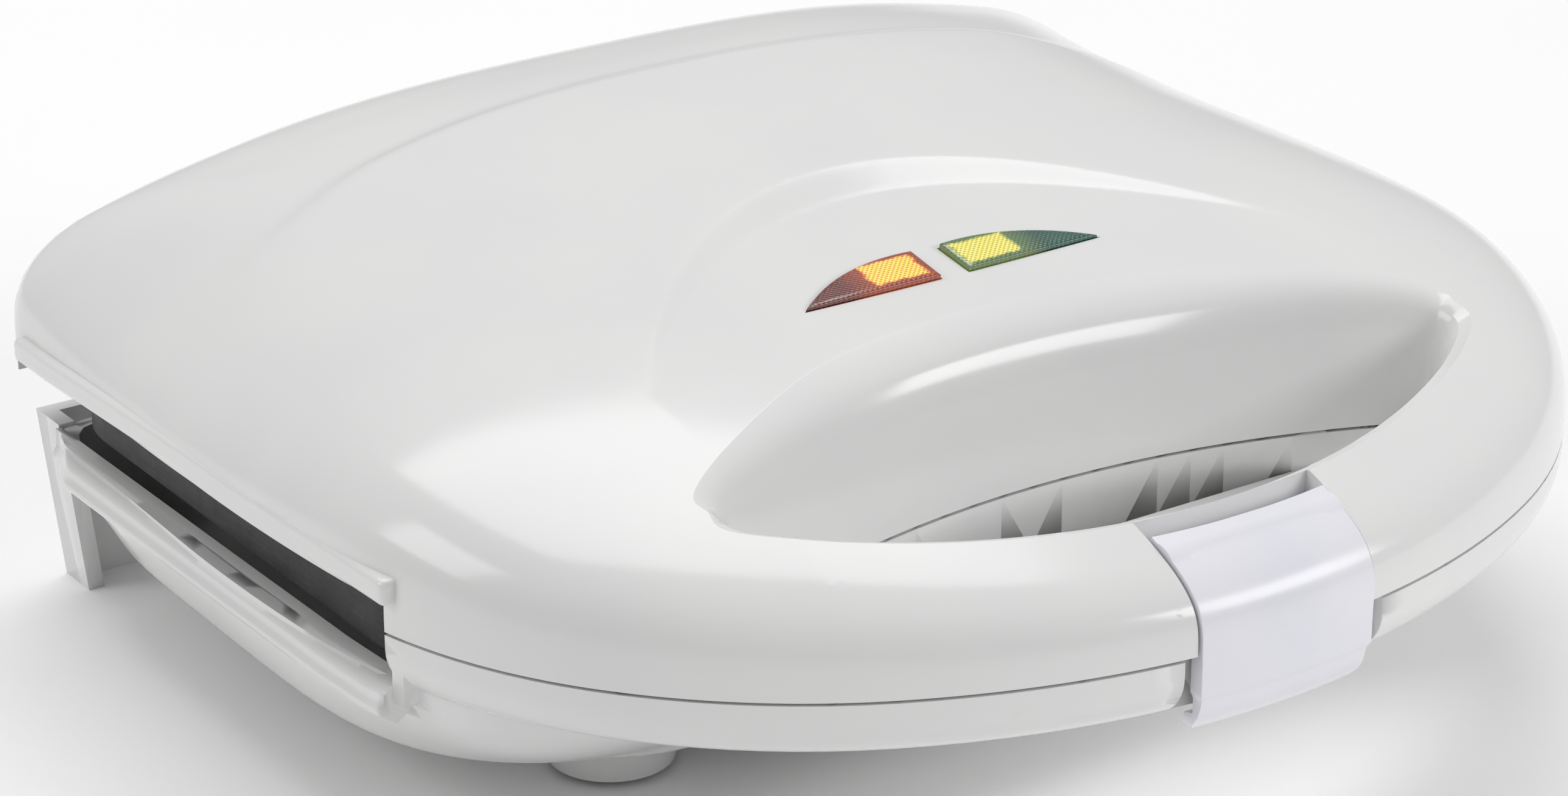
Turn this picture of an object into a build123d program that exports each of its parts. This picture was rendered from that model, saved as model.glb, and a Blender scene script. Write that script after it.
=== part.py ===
from build123d import *
import math
import os

# Sandwich maker with two fixed plates, a hinged lid and a latch on its front handle.
# X is to the right seen from the front, Y to the back, Z up; the feet stand on Z = 0.

# Covers
body_width = 230.0            # across the bulging sides
front_reach = 106.7           # origin to the front of the handle
rear_reach = 101.4            # origin to the rear walls
front_sweep = 86.7            # how far the front curve falls back at the sides
front_points = ((0.539, 0.17), (0.839, 0.5), (0.987, 1.0))   # shares of the half width and of the sweep
bulge_place = 40.7            # where the sides are widest
rear_corner = 26.4            # where the rear corners begin, from the rear walls
rear_taper = 3.5              # the sides come in by this much before the corners
parting_height = 43.7         # plane between the plates, and height of the hinge axis
parting_gap = 0.5             # open line between the lid and the base
wall = 2.4                    # moulded wall of both covers

# Lid
top_radius = 900.0            # gentle dome of the lid
top_slope = 0.18              # the lid rises to the back, at the lamps
lid_rounding = 14.0
front_bow = 0.0038            # the handle's front falls back by this times the square of the way from the middle
ledge_reach = 113.4           # outer face of the straight side ledge from the middle
ledge_height = 4.6
ledge_rise = 1.3              # ledge above the parting plane
ledge_front = -37.3
ledge_rear = 95.7
shelf_start = 0.88            # side shelves start at this share of the plate's half width
ledge_end_start = 0.93        # and the wall at the ledge's rear end at this one
lamps_height = 74.9           # top of the lid between the lamps
lamps_place = -17.3

# Handle opening for the fingers
opening_rear = -43.0          # its rear wall in the middle
opening_bow = 160.0           # radius of the rear wall
opening_corner = 8.0
handle_depth = 20.4           # width of the handle from its front to the opening
opening_lean = 0.75           # the lid's rear wall of the opening leans back by this slope
opening_lean_start = 58.0
# Base
handle_base_height = 11.0     # lower half of the handle
base_rounding = 8.0
base_side_drop = 6.2          # side rims lie this far under the parting plane
side_clear = 1.0              # side rims and ledges stay this clear of the plates
side_front = -30.3            # front end of the lowered side rims
side_rear = 94.2
bowl_floor = 10.5             # underside of the bowl above the ground
bowl_half_top = 104.0
bowl_half_bottom = 84.0
bowl_front_top = -53.3
bowl_front_bottom = -35.3
bowl_rear_top = 96.7
bowl_rear_bottom = 86.7
bowl_corner = 26.0
bowl_edge = 6.0               # rounding of the bowl's lower edge
recess_half = 56.0            # half length of the wall set back behind the opening
plate_room = 0.6              # room all round the plate's turned edge
rim_clear = 0.5               # rim over the set-back wall stays this far under the plate
recess_depth = 6.0            # base wall behind the opening, set back under its rim
rib_thickness = 2.0
rib_places = (13.0, 39.0)
rib_foot = 17.0               # lower end of the tapering ribs
handle_webs = (32.0, 64.0, 90.0)
leg_wall = 3.0                # rear skirt that ends in two legs
leg_half = 108.0              # outer face of the legs at their top
leg_lean = 4.0                # legs lean in by this much at the ground
leg_width = 13.0
leg_return = 9.0
arch_height = 27.0
arch_half = 74.0

# Feet
foot_place_x = 61.8
foot_place_y = -13.1
foot_diameter = 21.0
foot_spread = 2.0
pad_thickness = 2.2
pad_diameter = 15.0
pad_seat = 1.0
pad_gap = 0.1

# Plates
plate_half = 107.0
plate_front = -37.8
plate_rear = 95.2
plate_corner = 20.0
plate_rim = 3.0               # thickness of the flat rim
plate_skirt = 8.0             # turned edge of each plate
plate_skirt_wall = 2.5
plate_gap = 0.3               # between the closed plates
pocket_depth = 9.0
pocket_floor = 2.8
pocket_web = 14.0             # middle web between the two sandwich cells
pocket_side = 11.0             # rim beside the cells
pocket_end = 13.0             # rim before and behind the cells
pocket_ridge = 8.0            # diagonal ridge that cuts the bread
ridge_slant = 0.72            # how far each pocket stays back from the diagonal, as a share of the ridge
pocket_corner = 7.0
pocket_taper = 24.0           # degrees

# Heaters and reflectors
heater_diameter = 6.6
heater_half = 64.0            # straight runs reach this far from the middle
heater_front = 14.0
heater_rear = 48.7
heater_gap = 0.1
bead_diameter = 6.4
bead_length = 10.0
stud_diameter = 3.0
stud_length = 8.0
reflector_sheet = 0.8
reflector_depth = 19.8        # from the plate's face to the flat of the reflector
reflector_half = 86.0
reflector_front = -3.5
reflector_rear = 70.0
reflector_corner = 12.0
reflector_rim = 7.5
reflector_flare = 20.0        # degrees its rim leans outwards

# Plate screws
screw_front = 3.0
screw_rear = 60.7
screw_diameter = 4.0
screw_head = 7.4
screw_head_height = 2.2
screw_length = 26.0
screw_gap = 0.25              # clearance all round a screw
boss_diameter = 10.0

# Thermostat, fuse and terminals
thermostat_diameter = 13.0
thermostat_height = 4.6
thermostat_place_x = 30.0
thermostat_place_y = 31.0
blade_width = 4.0
blade_length = 8.0
fuse_diameter = 4.0
fuse_length = 11.0
fuse_place_x = -30.0
fuse_place_y = 31.0
block_length = 26.0
block_depth = 12.0
block_height = 8.5
block_place_x = -52.0
block_place_y = 62.0
block_poles = 3

# Cord inlet bush
bush_place = -52.0
bush_height = 21.5
bush_bore = 7.0
bush_neck = 10.0
bush_flange = 15.0
bush_lip = 2.0
bush_gap = 0.1

# Hinge
hinge_setback = 4.6           # axis behind the rear walls
hinge_barrel = 4.2            # radius of the knuckles
hinge_middle = 70.0
hinge_knuckle = 10.0          # length of the lid's knuckles
hinge_ear = 6.5
hinge_side_gap = 0.5
hinge_foot = 15.0             # how far the ears and knuckles reach down or up the walls
hinge_root = 1.0              # ears and knuckles start this deep in the walls
pin_diameter = 4.0
pin_end_gap = 0.3
knuckle_fit = 0.05            # radial running fit in the lid's knuckles
ear_fit = 0.01                # radial fit in the base's ears

# Lamps
lamp_tip = 29.1
lamp_front = -21.7
lamp_rear = -13.3
lamp_middle_gap = 2.9         # half the bar between the two lenses
lamp_proud = 0.4
lamp_gap = 0.15
lamp_sag = 0.8                # lens flanges lie this far under the lid's skin, which is domed
lamp_flange = 1.3
lamp_depth = 4.2              # back of the lens under the facet
holder_half = 33.0
holder_width = 18.0
holder_depth = 7.6
holder_wall = 1.6
holder_ear = 9.0
holder_ear_thickness = 2.4
holder_screw = 2.6
holder_screw_head = 4.8
holder_screw_length = 4.2
post_diameter = 6.8
post_root = 1.0               # posts start this deep in the lid's skin
neon_diameter = 5.0
neon_length = 13.0
neon_place = 12.0

# Latch
latch_half = 18.8
notch_gap = 0.5
latch_thickness = 2.6
latch_proud = 0.5
pivot_y = -95.0
pivot_z = 53.5
latch_pin_diameter = 3.0
latch_pin_seat = 2.2          # the pin's ends sit this deep in the handle
latch_barrel = 4.4            # radius of the latch's knuckle
latch_sweep = 0.7             # open line between the knuckle and the handle's skin
latch_fit = 0.06
lip_bottom = 28.0             # tip of the finger lip above the ground
lip_height = 5.4
lip_reach = 3.0
lip_half = 15.8
catch_depth = 3.2             # nib under the handle
catch_height = 2.4
catch_top = 32.8
notch_shelf = 4.6             # shelf under the latch above the parting plane
notch_depth = 3.6             # the base's handle is set back this far behind the latch

half_width = body_width / 2
hinge_y = rear_reach + hinge_setback
handle_bottom = parting_height - handle_base_height
base_top = parting_height - parting_gap
side_rim = parting_height - base_side_drop
bowl_top = handle_bottom + 4
opening_front = -front_reach + handle_depth
notch_half = latch_half + notch_gap
far = 400.0


# Shared forms

def box(x0, x1, y0, y1, z0, z1):
    return Pos((x0 + x1) / 2, (y0 + y1) / 2, (z0 + z1) / 2) * Box(x1 - x0, y1 - y0, z1 - z0)


def both(shape):
    return shape + shape.mirror(Plane.YZ)


def rod_x(x0, x1, y, z, radius):
    return Pos((x0 + x1) / 2, y, z) * Rot(0, 90, 0) * Cylinder(radius, x1 - x0)


def side_face(x, points):
    """Flat face that looks along X, from points given as Y and Z."""
    return Face(Wire(Polyline([(x, y, z) for y, z in points], close=True).edges()))


def slab_x(x0, x1, points):
    return extrude(side_face(x0, points), x1 - x0, dir=(1, 0, 0))


def plan_face(inset=0.0):
    """Outline of both covers from above, made of arcs that run smoothly into each other."""
    points = [(x * half_width, y * front_sweep - front_reach) for x, y in front_points]
    points.append((half_width, bulge_place))
    points.append((half_width - rear_taper, rear_reach - rear_corner))
    start = (0.0, -front_reach)
    heading = Vector(1, 0, 0)
    arcs = []
    for point in points:
        arcs.append(TangentArc(start, point, tangent=heading).edge())
        heading = arcs[-1] % 1
        start = point
    # the last arc ends along the rear wall
    turn = (math.atan2(heading.Y, heading.X) + math.pi) / 2
    end = (start[0] - rear_corner / math.tan(math.pi - turn), rear_reach)
    arcs.append(TangentArc(start, end, tangent=heading).edge())
    left = [arc.mirror(Plane.YZ) for arc in arcs]
    face = make_face(arcs + left + [Line(end, (-end[0], rear_reach)).edge()])
    return offset(face, -inset) if inset else face


def front_curve(x):
    """Front of the handle seen from above, near the middle."""
    return -front_reach + front_bow * x**2


def plan_prism(inset, z0, z1):
    return extrude(Pos(0, 0, z0) * plan_face(inset), z1 - z0)


def lid_form(inset=0.0, foot=0.0):
    """Outer form of the lid, or the form that lies deeper by the inset; it starts a foot under the parting plane."""
    body = plan_prism(inset, parting_height - foot, parting_height + 70)
    normal = Vector(0, -top_slope, 1).normalized()
    centre = Vector(0, lamps_place, lamps_height) - normal * top_radius
    body &= Pos(*centre) * Sphere(top_radius - inset)
    top = body.faces().filter_by(GeomType.SPHERE)[0]
    return fillet(top.outer_wire().edges(), lid_rounding - inset)


def base_form(inset=0.0):
    """Handle half and flanges of the base, rounded to their flat underside."""
    low = handle_bottom + inset
    body = plan_prism(inset, low, base_top)
    return fillet(body.faces().sort_by(Axis.Z)[0].outer_wire().edges(), base_rounding - inset)


def opening_face(grow=0.0):
    bow = Pos(0, opening_rear - opening_bow, 0) * Circle(opening_bow + grow)
    face = plan_face(handle_depth - grow) & bow
    corners = face.vertices().sort_by(Axis.X)
    return fillet([corners[0], corners[-1]], opening_corner + grow)


def opening_prism(grow, z0, z1):
    return extrude(Pos(0, 0, z0) * opening_face(grow), z1 - z0)


def opening_form(grow=0.0, foot=1.0):
    """Finger space through the lid; its rear wall leans back towards the lamps."""
    straight = opening_prism(grow, parting_height - foot, 95)
    start = Pos(0, 0, opening_lean_start - grow) * opening_face(grow)
    return straight + extrude(start, 45, dir=(0, opening_lean, 1))


def on_lamps(shape):
    """Moves a shape from flat coordinates onto the lid's top between the lamps; its Z = 0 is the surface."""
    tilt = math.degrees(math.atan(top_slope))
    return Pos(0, lamps_place, lamps_height) * Rot(tilt, 0, 0) * Pos(0, -lamps_place, 0) * shape


def rear_curve(x):
    """Rear wall of the opening, seen from above."""
    return opening_rear - opening_bow + math.sqrt(opening_bow**2 - x**2)


# Lens plan: a crescent half with a straight front and a bowed rear edge

def lens_plan(grow=0.0):
    inner = lamp_middle_gap - grow
    front = lamp_front - grow
    tip = (lamp_tip + 2.2 * grow, front)
    rear = lamp_rear + grow
    bow = (0.6 * lamp_tip, lamp_rear - 0.2 * (lamp_rear - lamp_front) + 1.15 * grow)
    return Face(Wire([
        Line((inner, front), tip).edge(),
        ThreePointArc(tip, bow, (inner, rear)).edge(),
        Line((inner, rear), (inner, front)).edge(),
    ]))


def lens(side):
    body = extrude(Pos(0, 0, -lamp_depth) * lens_plan(), lamp_depth + lamp_proud)
    flange_top = -wall - lamp_sag
    body += extrude(Pos(0, 0, -lamp_depth) * lens_plan(lamp_flange), lamp_depth + flange_top)
    body = on_lamps(body)
    return body if side > 0 else body.mirror(Plane.YZ)


def lamp_holder():
    low = -lamp_depth - holder_depth
    y0 = lamps_place - holder_width / 2
    y1 = lamps_place + holder_width / 2
    body = box(-holder_half, holder_half, y0, y1, low, -lamp_depth)
    ear_top = -lamp_depth
    ear = box(holder_half, holder_half + holder_ear, y0 + 3, y1 - 3, ear_top - holder_ear_thickness, ear_top)
    body += both(ear)
    half = neon_length / 2 + 1.5
    chamber = box(neon_place - half, neon_place + half, lamps_place - 4, lamps_place + 4, low + holder_wall, 0)
    body -= both(chamber)
    hole = Pos(holder_half + holder_ear / 2, lamps_place, 0) * Cylinder(holder_screw / 2 + 0.2, far)
    return on_lamps(body - both(hole))


def holder_post():
    """Post of the lid that carries one ear of the lamp holder."""
    high = -wall + post_root
    post = Pos(holder_half + holder_ear / 2, lamps_place, (high - lamp_depth) / 2)
    return post * Cylinder(post_diameter / 2, high + lamp_depth)


def holder_screws():
    x = holder_half + holder_ear / 2
    under = -lamp_depth - holder_ear_thickness
    head = Pos(x, lamps_place, under - 0.8) * Cylinder(holder_screw_head / 2, 1.6)
    shank = Pos(x, lamps_place, under + holder_screw_length / 2) * Cylinder(holder_screw / 2, holder_screw_length)
    return on_lamps(both(head + shank))


def neon_lamp(side):
    z = -lamp_depth - holder_depth + holder_wall + neon_diameter / 2 + 0.1
    glass = rod_x(neon_place - neon_length / 2, neon_place + neon_length / 2 - 2, lamps_place, z, neon_diameter / 2)
    glass += Pos(neon_place + neon_length / 2 - 2, lamps_place, z) * Sphere(neon_diameter / 2 - 0.001)
    body = on_lamps(glass)
    return body if side > 0 else body.mirror(Plane.YZ)


# Plates, heaters and reflectors are made for the base and mirrored for the lid

def plate_rect(inset, height):
    width = 2 * (plate_half - inset)
    depth = plate_rear - plate_front - 2 * inset
    shape = RectangleRounded(width, depth, max(plate_corner - inset, 1.0))
    return Pos(0, (plate_front + plate_rear) / 2, height) * shape


def pockets(grow, depth, height):
    """Four triangular sandwich pockets that narrow downwards, two to each cell."""
    x0, x1 = pocket_web / 2, plate_half - pocket_side
    y0, y1 = plate_front + pocket_end, plate_rear - pocket_end
    slant = pocket_ridge * ridge_slant
    lower = Polyline((x0, y0), (x1 - slant, y0), (x0, y1 - slant), close=True)
    upper = Polyline((x1, y1), (x0 + slant, y1), (x1, y0 + slant), close=True)
    solid = None
    for outline in (lower, upper):
        face = make_face(outline)
        face = fillet(face.vertices(), pocket_corner)
        if grow:
            face = offset(face, grow, kind=Kind.ARC)
        cut = extrude(Pos(0, 0, height) * face, depth, dir=(0, 0, -1), taper=pocket_taper)
        solid = cut if solid is None else solid + cut
    return both(solid)


def lower_plate():
    top = parting_height - plate_gap / 2
    under = top - plate_rim
    body = extrude(plate_rect(0, under), plate_rim)
    skirt = extrude(plate_rect(0, top - plate_skirt), plate_skirt - plate_rim)
    skirt -= extrude(plate_rect(plate_skirt_wall, top - plate_skirt), plate_skirt - plate_rim)
    body += skirt
    grow = pocket_floor
    body += pockets(grow, pocket_depth + pocket_floor, top)
    body -= pockets(0, pocket_depth, top)
    for y in (screw_front, screw_rear):
        post_low = top - reflector_depth
        body += Pos(0, y, (under + post_low) / 2) * Cylinder(boss_diameter / 2, under - post_low)
        body -= Pos(0, y, 0) * Cylinder(screw_diameter / 2 + screw_gap, far)
        seat = screw_head_height + screw_gap
        body -= Pos(0, y, top - seat / 2) * Cylinder(screw_head / 2 + screw_gap, seat)
    return body


def plate_screws():
    top = parting_height - plate_gap / 2
    screws = []
    for y in (screw_front, screw_rear):
        head_low = top - screw_head_height - screw_gap
        screw = Pos(0, y, head_low + screw_head_height / 2) * Cylinder(screw_head / 2, screw_head_height)
        screw += Pos(0, y, head_low - screw_length / 2) * Cylinder(screw_diameter / 2, screw_length)
        slot = box(-screw_head / 2, screw_head / 2, y - 0.5, y + 0.5, head_low + screw_head_height - 0.9, far)
        screws.append(screw - slot)
    return screws[0] + screws[1]


def heater_height():
    return pocket_under() - heater_gap - heater_diameter / 2


def heater():
    z = heater_height()
    bend = (heater_rear - heater_front) / 2
    left = -heater_half
    path = Wire([
        Line((heater_half, heater_front, z), (left, heater_front, z)).edge(),
        ThreePointArc((left, heater_front, z), (left - bend, heater_front + bend, z), (left, heater_rear, z)).edge(),
        Line((left, heater_rear, z), (heater_half, heater_rear, z)).edge(),
    ])
    start = Plane(origin=(heater_half, heater_front, z), z_dir=(-1, 0, 0))
    return sweep(start * Circle(heater_diameter / 2), path=path)


def heater_terminals():
    z = heater_height()
    parts = []
    for y in (heater_front, heater_rear):
        bead = rod_x(heater_half, heater_half + bead_length, y, z, bead_diameter / 2)
        stud = rod_x(heater_half + bead_length, heater_half + bead_length + stud_length, y, z, stud_diameter / 2)
        parts.append(bead + stud)
    return parts[0] + parts[1]


def reflector():
    def pan(inset, height):
        depth = reflector_rear - reflector_front
        shape = RectangleRounded(2 * (reflector_half - inset), depth - 2 * inset, reflector_corner - inset)
        face = Pos(0, (reflector_front + reflector_rear) / 2, height) * shape
        return extrude(face, reflector_rim, taper=-reflector_flare)
    top = parting_height - plate_gap / 2 - reflector_depth
    body = pan(0, top - reflector_sheet) - pan(reflector_sheet, top)
    for y in (screw_front, screw_rear):
        body -= Pos(0, y, 0) * Cylinder(screw_diameter / 2 + screw_gap, far)
    return body


def pocket_under():
    """Height of the underside of the lower plate's pockets."""
    return parting_height - plate_gap / 2 - pocket_depth - pocket_floor


def thermostat():
    low = pocket_under() - thermostat_height
    cap_radius = thermostat_diameter / 2 - 2
    body = Pos(0, 0, low + thermostat_height / 2) * Cylinder(thermostat_diameter / 2, thermostat_height)
    body += Pos(0, 0, low - 0.75) * Cylinder(cap_radius, 1.5)
    body += both(box(cap_radius - 1, cap_radius + blade_length, -blade_width / 2, blade_width / 2, low - 1.2, low - 0.4))
    return Pos(thermostat_place_x, thermostat_place_y, 0) * body


def thermal_fuse():
    z = pocket_under() - fuse_diameter / 2
    body = rod_x(-fuse_length / 2, fuse_length / 2, 0, z, fuse_diameter / 2)
    body += both(rod_x(fuse_length / 2 - 0.5, fuse_length / 2 + 5, 0, z, 0.5))
    return Pos(fuse_place_x, fuse_place_y, 0) * body


def terminal_block():
    low = bowl_floor + wall
    x0 = block_place_x - block_length / 2
    y0 = block_place_y - block_depth / 2
    body = box(x0, x0 + block_length, y0, y0 + block_depth, low, low + block_height)
    pitch = block_length / block_poles
    for pole in range(block_poles):
        x = x0 + pitch * (pole + 0.5)
        body -= Pos(x, block_place_y, low + block_height - 2) * Cylinder(1.8, 4.001)
        body -= Pos(x, block_place_y, low + block_height / 2 - 1) * Rot(90, 0, 0) * Cylinder(1.5, far)
        if pole:
            body -= box(x0 + pitch * pole - 0.6, x0 + pitch * pole + 0.6, y0, y0 + block_depth,
                        low + block_height - 3, far)
    return body


# Base cover

def side_shelf(reach, front, z0, z1):
    """Flat shelf along each side, from clear of the plates out to the given reach."""
    shelf = box(shelf_start * plate_half, reach, front, ledge_rear, z0, z1)
    return both(shelf - extrude(plate_rect(-side_clear, z0 - 1), z1 - z0 + 2))


def bowl_form(inset=0.0):
    def rect(half, front, rear, z):
        shape = RectangleRounded(2 * (half - inset), rear - front - 2 * inset, bowl_corner - inset)
        return Pos(0, (front + rear) / 2, z) * shape
    low = rect(bowl_half_bottom, bowl_front_bottom, bowl_rear_bottom, bowl_floor + inset)
    high = rect(bowl_half_top, bowl_front_top, bowl_rear_top, bowl_top)
    body = loft([low, high], ruled=True)
    edges = body.faces().sort_by(Axis.Z)[0].outer_wire().edges()
    return fillet(edges, bowl_edge - inset / 2)


def rear_skirt():
    """Skirt behind the bowl: two legs joined by an arch, with short returns along the sides."""
    top = base_top
    foot_out = leg_half - leg_lean
    outline = Polyline(
        (leg_half, top), (foot_out, 0), (foot_out - leg_width, 0),
        (arch_half, arch_height), (-arch_half, arch_height),
        (-foot_out + leg_width, 0), (-foot_out, 0), (-leg_half, top), close=True)
    face = make_face(outline)
    plate = extrude(Pos(0, rear_reach, 0) * Rot(90, 0, 0) * face, leg_wall)
    side = Polyline(
        (leg_half, side_rim), (foot_out, 0), (foot_out - leg_wall, 0), (leg_half - leg_wall, side_rim), close=True)
    side_plate = extrude(Pos(0, rear_reach, 0) * Rot(90, 0, 0) * make_face(side), leg_return)
    return plate + both(side_plate)


def hinge_blocks(x0, x1, direction):
    """Knuckle with its block against the rear wall; direction is -1 for the base and 1 for the lid."""
    barrel = rod_x(x0, x1, hinge_y, parting_height, hinge_barrel)
    reach = parting_height + direction * hinge_foot
    z0, z1 = sorted((parting_height + direction * 0.6 * hinge_barrel, reach))
    block = box(x0, x1, rear_reach - hinge_root, hinge_y + 0.2 * hinge_barrel, z0, z1)
    block = chamfer(block.edges().filter_by(Axis.X).group_by(Axis.Y)[-1].sort_by(Axis.Z)[0 if direction < 0 else -1],
                    hinge_setback)
    return barrel + block


def handle_slices(solid, z0, z1):
    """Walls that close the handle's two ends beside the latch."""
    return both(solid & box(notch_half, notch_half + wall, -far, opening_front + 1, z0, z1))


def base_cover():
    solid = base_form() + bowl_form()
    solid -= opening_prism(0, -1, far)
    hollow = base_form(wall) + plan_prism(wall, base_top - 1, base_top + 5) + bowl_form(wall)
    hollow -= opening_prism(wall, -1, far)
    # wall set back behind the opening, under its rim
    rim_under = parting_height - plate_gap / 2 - plate_skirt - rim_clear - wall
    middle = opening_front + 0.5 * handle_depth + 8
    rear_part = box(-recess_half, recess_half, middle, 0, -1, far)
    hollow -= opening_prism(recess_depth + wall, -1, rim_under + wall) & rear_part
    body = solid - hollow
    body -= opening_prism(recess_depth, -1, rim_under) & rear_part
    for x in rib_places:
        edge = rear_curve(x) + 0.4
        back = rear_curve(x) + recess_depth + 1.0
        points = ((edge, rim_under + 0.5), (back, rim_under + 0.5), (back, rib_foot), (back - 2.0, rib_foot))
        body += both(slab_x(x - rib_thickness / 2, x + rib_thickness / 2, points))
    # set back behind the latch
    notch = box(-notch_half, notch_half, -far, pivot_y, -1, far) - plan_prism(notch_depth, -2, far)
    body -= notch
    band = plan_prism(notch_depth, handle_bottom + 0.5, base_top) - plan_prism(notch_depth + wall, 0, far)
    body += band & box(-notch_half - 1, notch_half + 1, -far, pivot_y, 0, far) & base_form(0.2)
    body += handle_slices(base_form(0.1) - opening_prism(0.5, -1, far), handle_bottom, base_top)
    # lowered side rims with a flat flange
    body -= both(box(bowl_half_top - 6, far, side_front, side_rear, side_rim, far))
    body += side_shelf(ledge_reach + 1, side_front, side_rim - wall, side_rim)
    # room for the plate's turned edge
    body -= extrude(plate_rect(-plate_room, parting_height - plate_gap / 2 - plate_skirt - rim_clear), plate_skirt)
    # ribs across the hollow handle
    for x in handle_webs:
        web = box(x, x + rib_thickness, -far, front_curve(x) + handle_depth - 1, handle_bottom + 1, base_top - 2)
        body += both(web & base_form(0.5))
    # screw bosses
    for y in (screw_front, screw_rear):
        top = parting_height - plate_gap / 2 - reflector_depth - reflector_sheet
        z0 = bowl_floor + 0.5
        body += Pos(0, y, (z0 + top) / 2) * Cylinder(boss_diameter / 2, top - z0)
        depth = screw_length - reflector_depth + 4
        body -= Pos(0, y, top) * Cylinder(screw_diameter / 2 + screw_gap, 2 * depth)
    # feet
    foot_top = bowl_floor + wall / 2
    foot_low = pad_thickness - pad_seat
    foot = Pos(foot_place_x, foot_place_y, (foot_top + foot_low) / 2)
    foot *= Cone(foot_diameter / 2, foot_diameter / 2 + foot_spread, foot_top - foot_low)
    foot -= Pos(foot_place_x, foot_place_y, pad_thickness / 2) * Cylinder(pad_diameter / 2 + pad_gap, pad_thickness)
    body += both(foot)
    # rear skirt, cord inlet and hinge ears
    body += rear_skirt()
    shelf = box(-leg_half + 6, leg_half - 6, bowl_rear_top - 3, rear_reach - leg_wall + 0.5, handle_bottom,
                handle_bottom + wall)
    body += shelf
    body -= Pos(bush_place, bush_wall(), bush_height) * Rot(90, 0, 0) * Cylinder(bush_neck / 2 + bush_gap, 30)
    for x0, x1 in hinge_ears():
        body += hinge_blocks(x0, x1, -1)
    for x in (-hinge_middle, hinge_middle):
        reach = hinge_knuckle / 2 + hinge_side_gap + hinge_ear - 1.5
        body -= rod_x(x - reach, x + reach, hinge_y, parting_height, pin_diameter / 2 + ear_fit)
    return body


def hinge_ears():
    near = hinge_knuckle / 2 + hinge_side_gap
    spans = []
    for x in (-hinge_middle, hinge_middle):
        spans.append((x - near - hinge_ear, x - near))
        spans.append((x + near, x + near + hinge_ear))
    return spans


def hinge_pins():
    pins = []
    reach = hinge_knuckle / 2 + hinge_side_gap + hinge_ear - 1.5 - pin_end_gap
    for x in (-hinge_middle, hinge_middle):
        pins.append(rod_x(x - reach, x + reach, hinge_y, parting_height, pin_diameter / 2))
    return pins[0] + pins[1]


def cord_inlet_bush():
    wall_out = bush_wall()
    body = Pos(bush_place, wall_out + bush_lip / 2, bush_height) * Rot(90, 0, 0) * Cylinder(bush_flange / 2, bush_lip)
    body += Pos(bush_place, wall_out - wall, bush_height) * Rot(90, 0, 0) * Cylinder(bush_neck / 2, 2 * wall + 2)
    body -= Pos(bush_place, wall_out, bush_height) * Rot(90, 0, 0) * Cylinder(bush_bore / 2, 40)
    return body


def bush_wall():
    """Outermost point of the bowl's leaning rear wall under the bush's flange."""
    share = (bush_height + bush_flange / 2 - bowl_floor) / (bowl_top - bowl_floor)
    return bowl_rear_bottom + share * (bowl_rear_top - bowl_rear_bottom)


# Lid cover

def lid_shell():
    return (lid_form() - opening_form()) - (lid_form(wall, 3) - opening_form(wall, 5))


def lid_ledges():
    low = parting_height + ledge_rise
    top = low + ledge_height
    ledge = side_shelf(ledge_reach, ledge_front, top - wall, top)
    ledge += both(box(ledge_reach - wall, ledge_reach, ledge_front, ledge_rear, low, top))
    return ledge + both(box(ledge_end_start * plate_half, ledge_reach, ledge_rear - wall, ledge_rear, low, top))


def latch_bay(body):
    """Room for the latch in the middle of the handle, closed on all sides."""
    shelf = parting_height + notch_shelf
    body -= box(-notch_half, notch_half, -far, pivot_y, shelf, far)
    body -= box(-notch_half, notch_half, -far, pivot_y, 0, far) - plan_prism(notch_depth, -1, far + 1)
    body -= rod_x(-notch_half, notch_half, pivot_y, pivot_z, latch_barrel + latch_sweep)
    body += handle_slices(lid_form(0.1) - opening_form(0.5), parting_height, far)
    core = plan_prism(notch_depth, parting_height, shelf)
    body += core & box(-notch_half - 1, notch_half + 1, -far, opening_front - 1, shelf - wall, shelf)
    band = core - plan_prism(notch_depth + wall, 0, far)
    return body + (band & box(-notch_half - 1, notch_half + 1, -far, pivot_y, parting_height, shelf))


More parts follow.
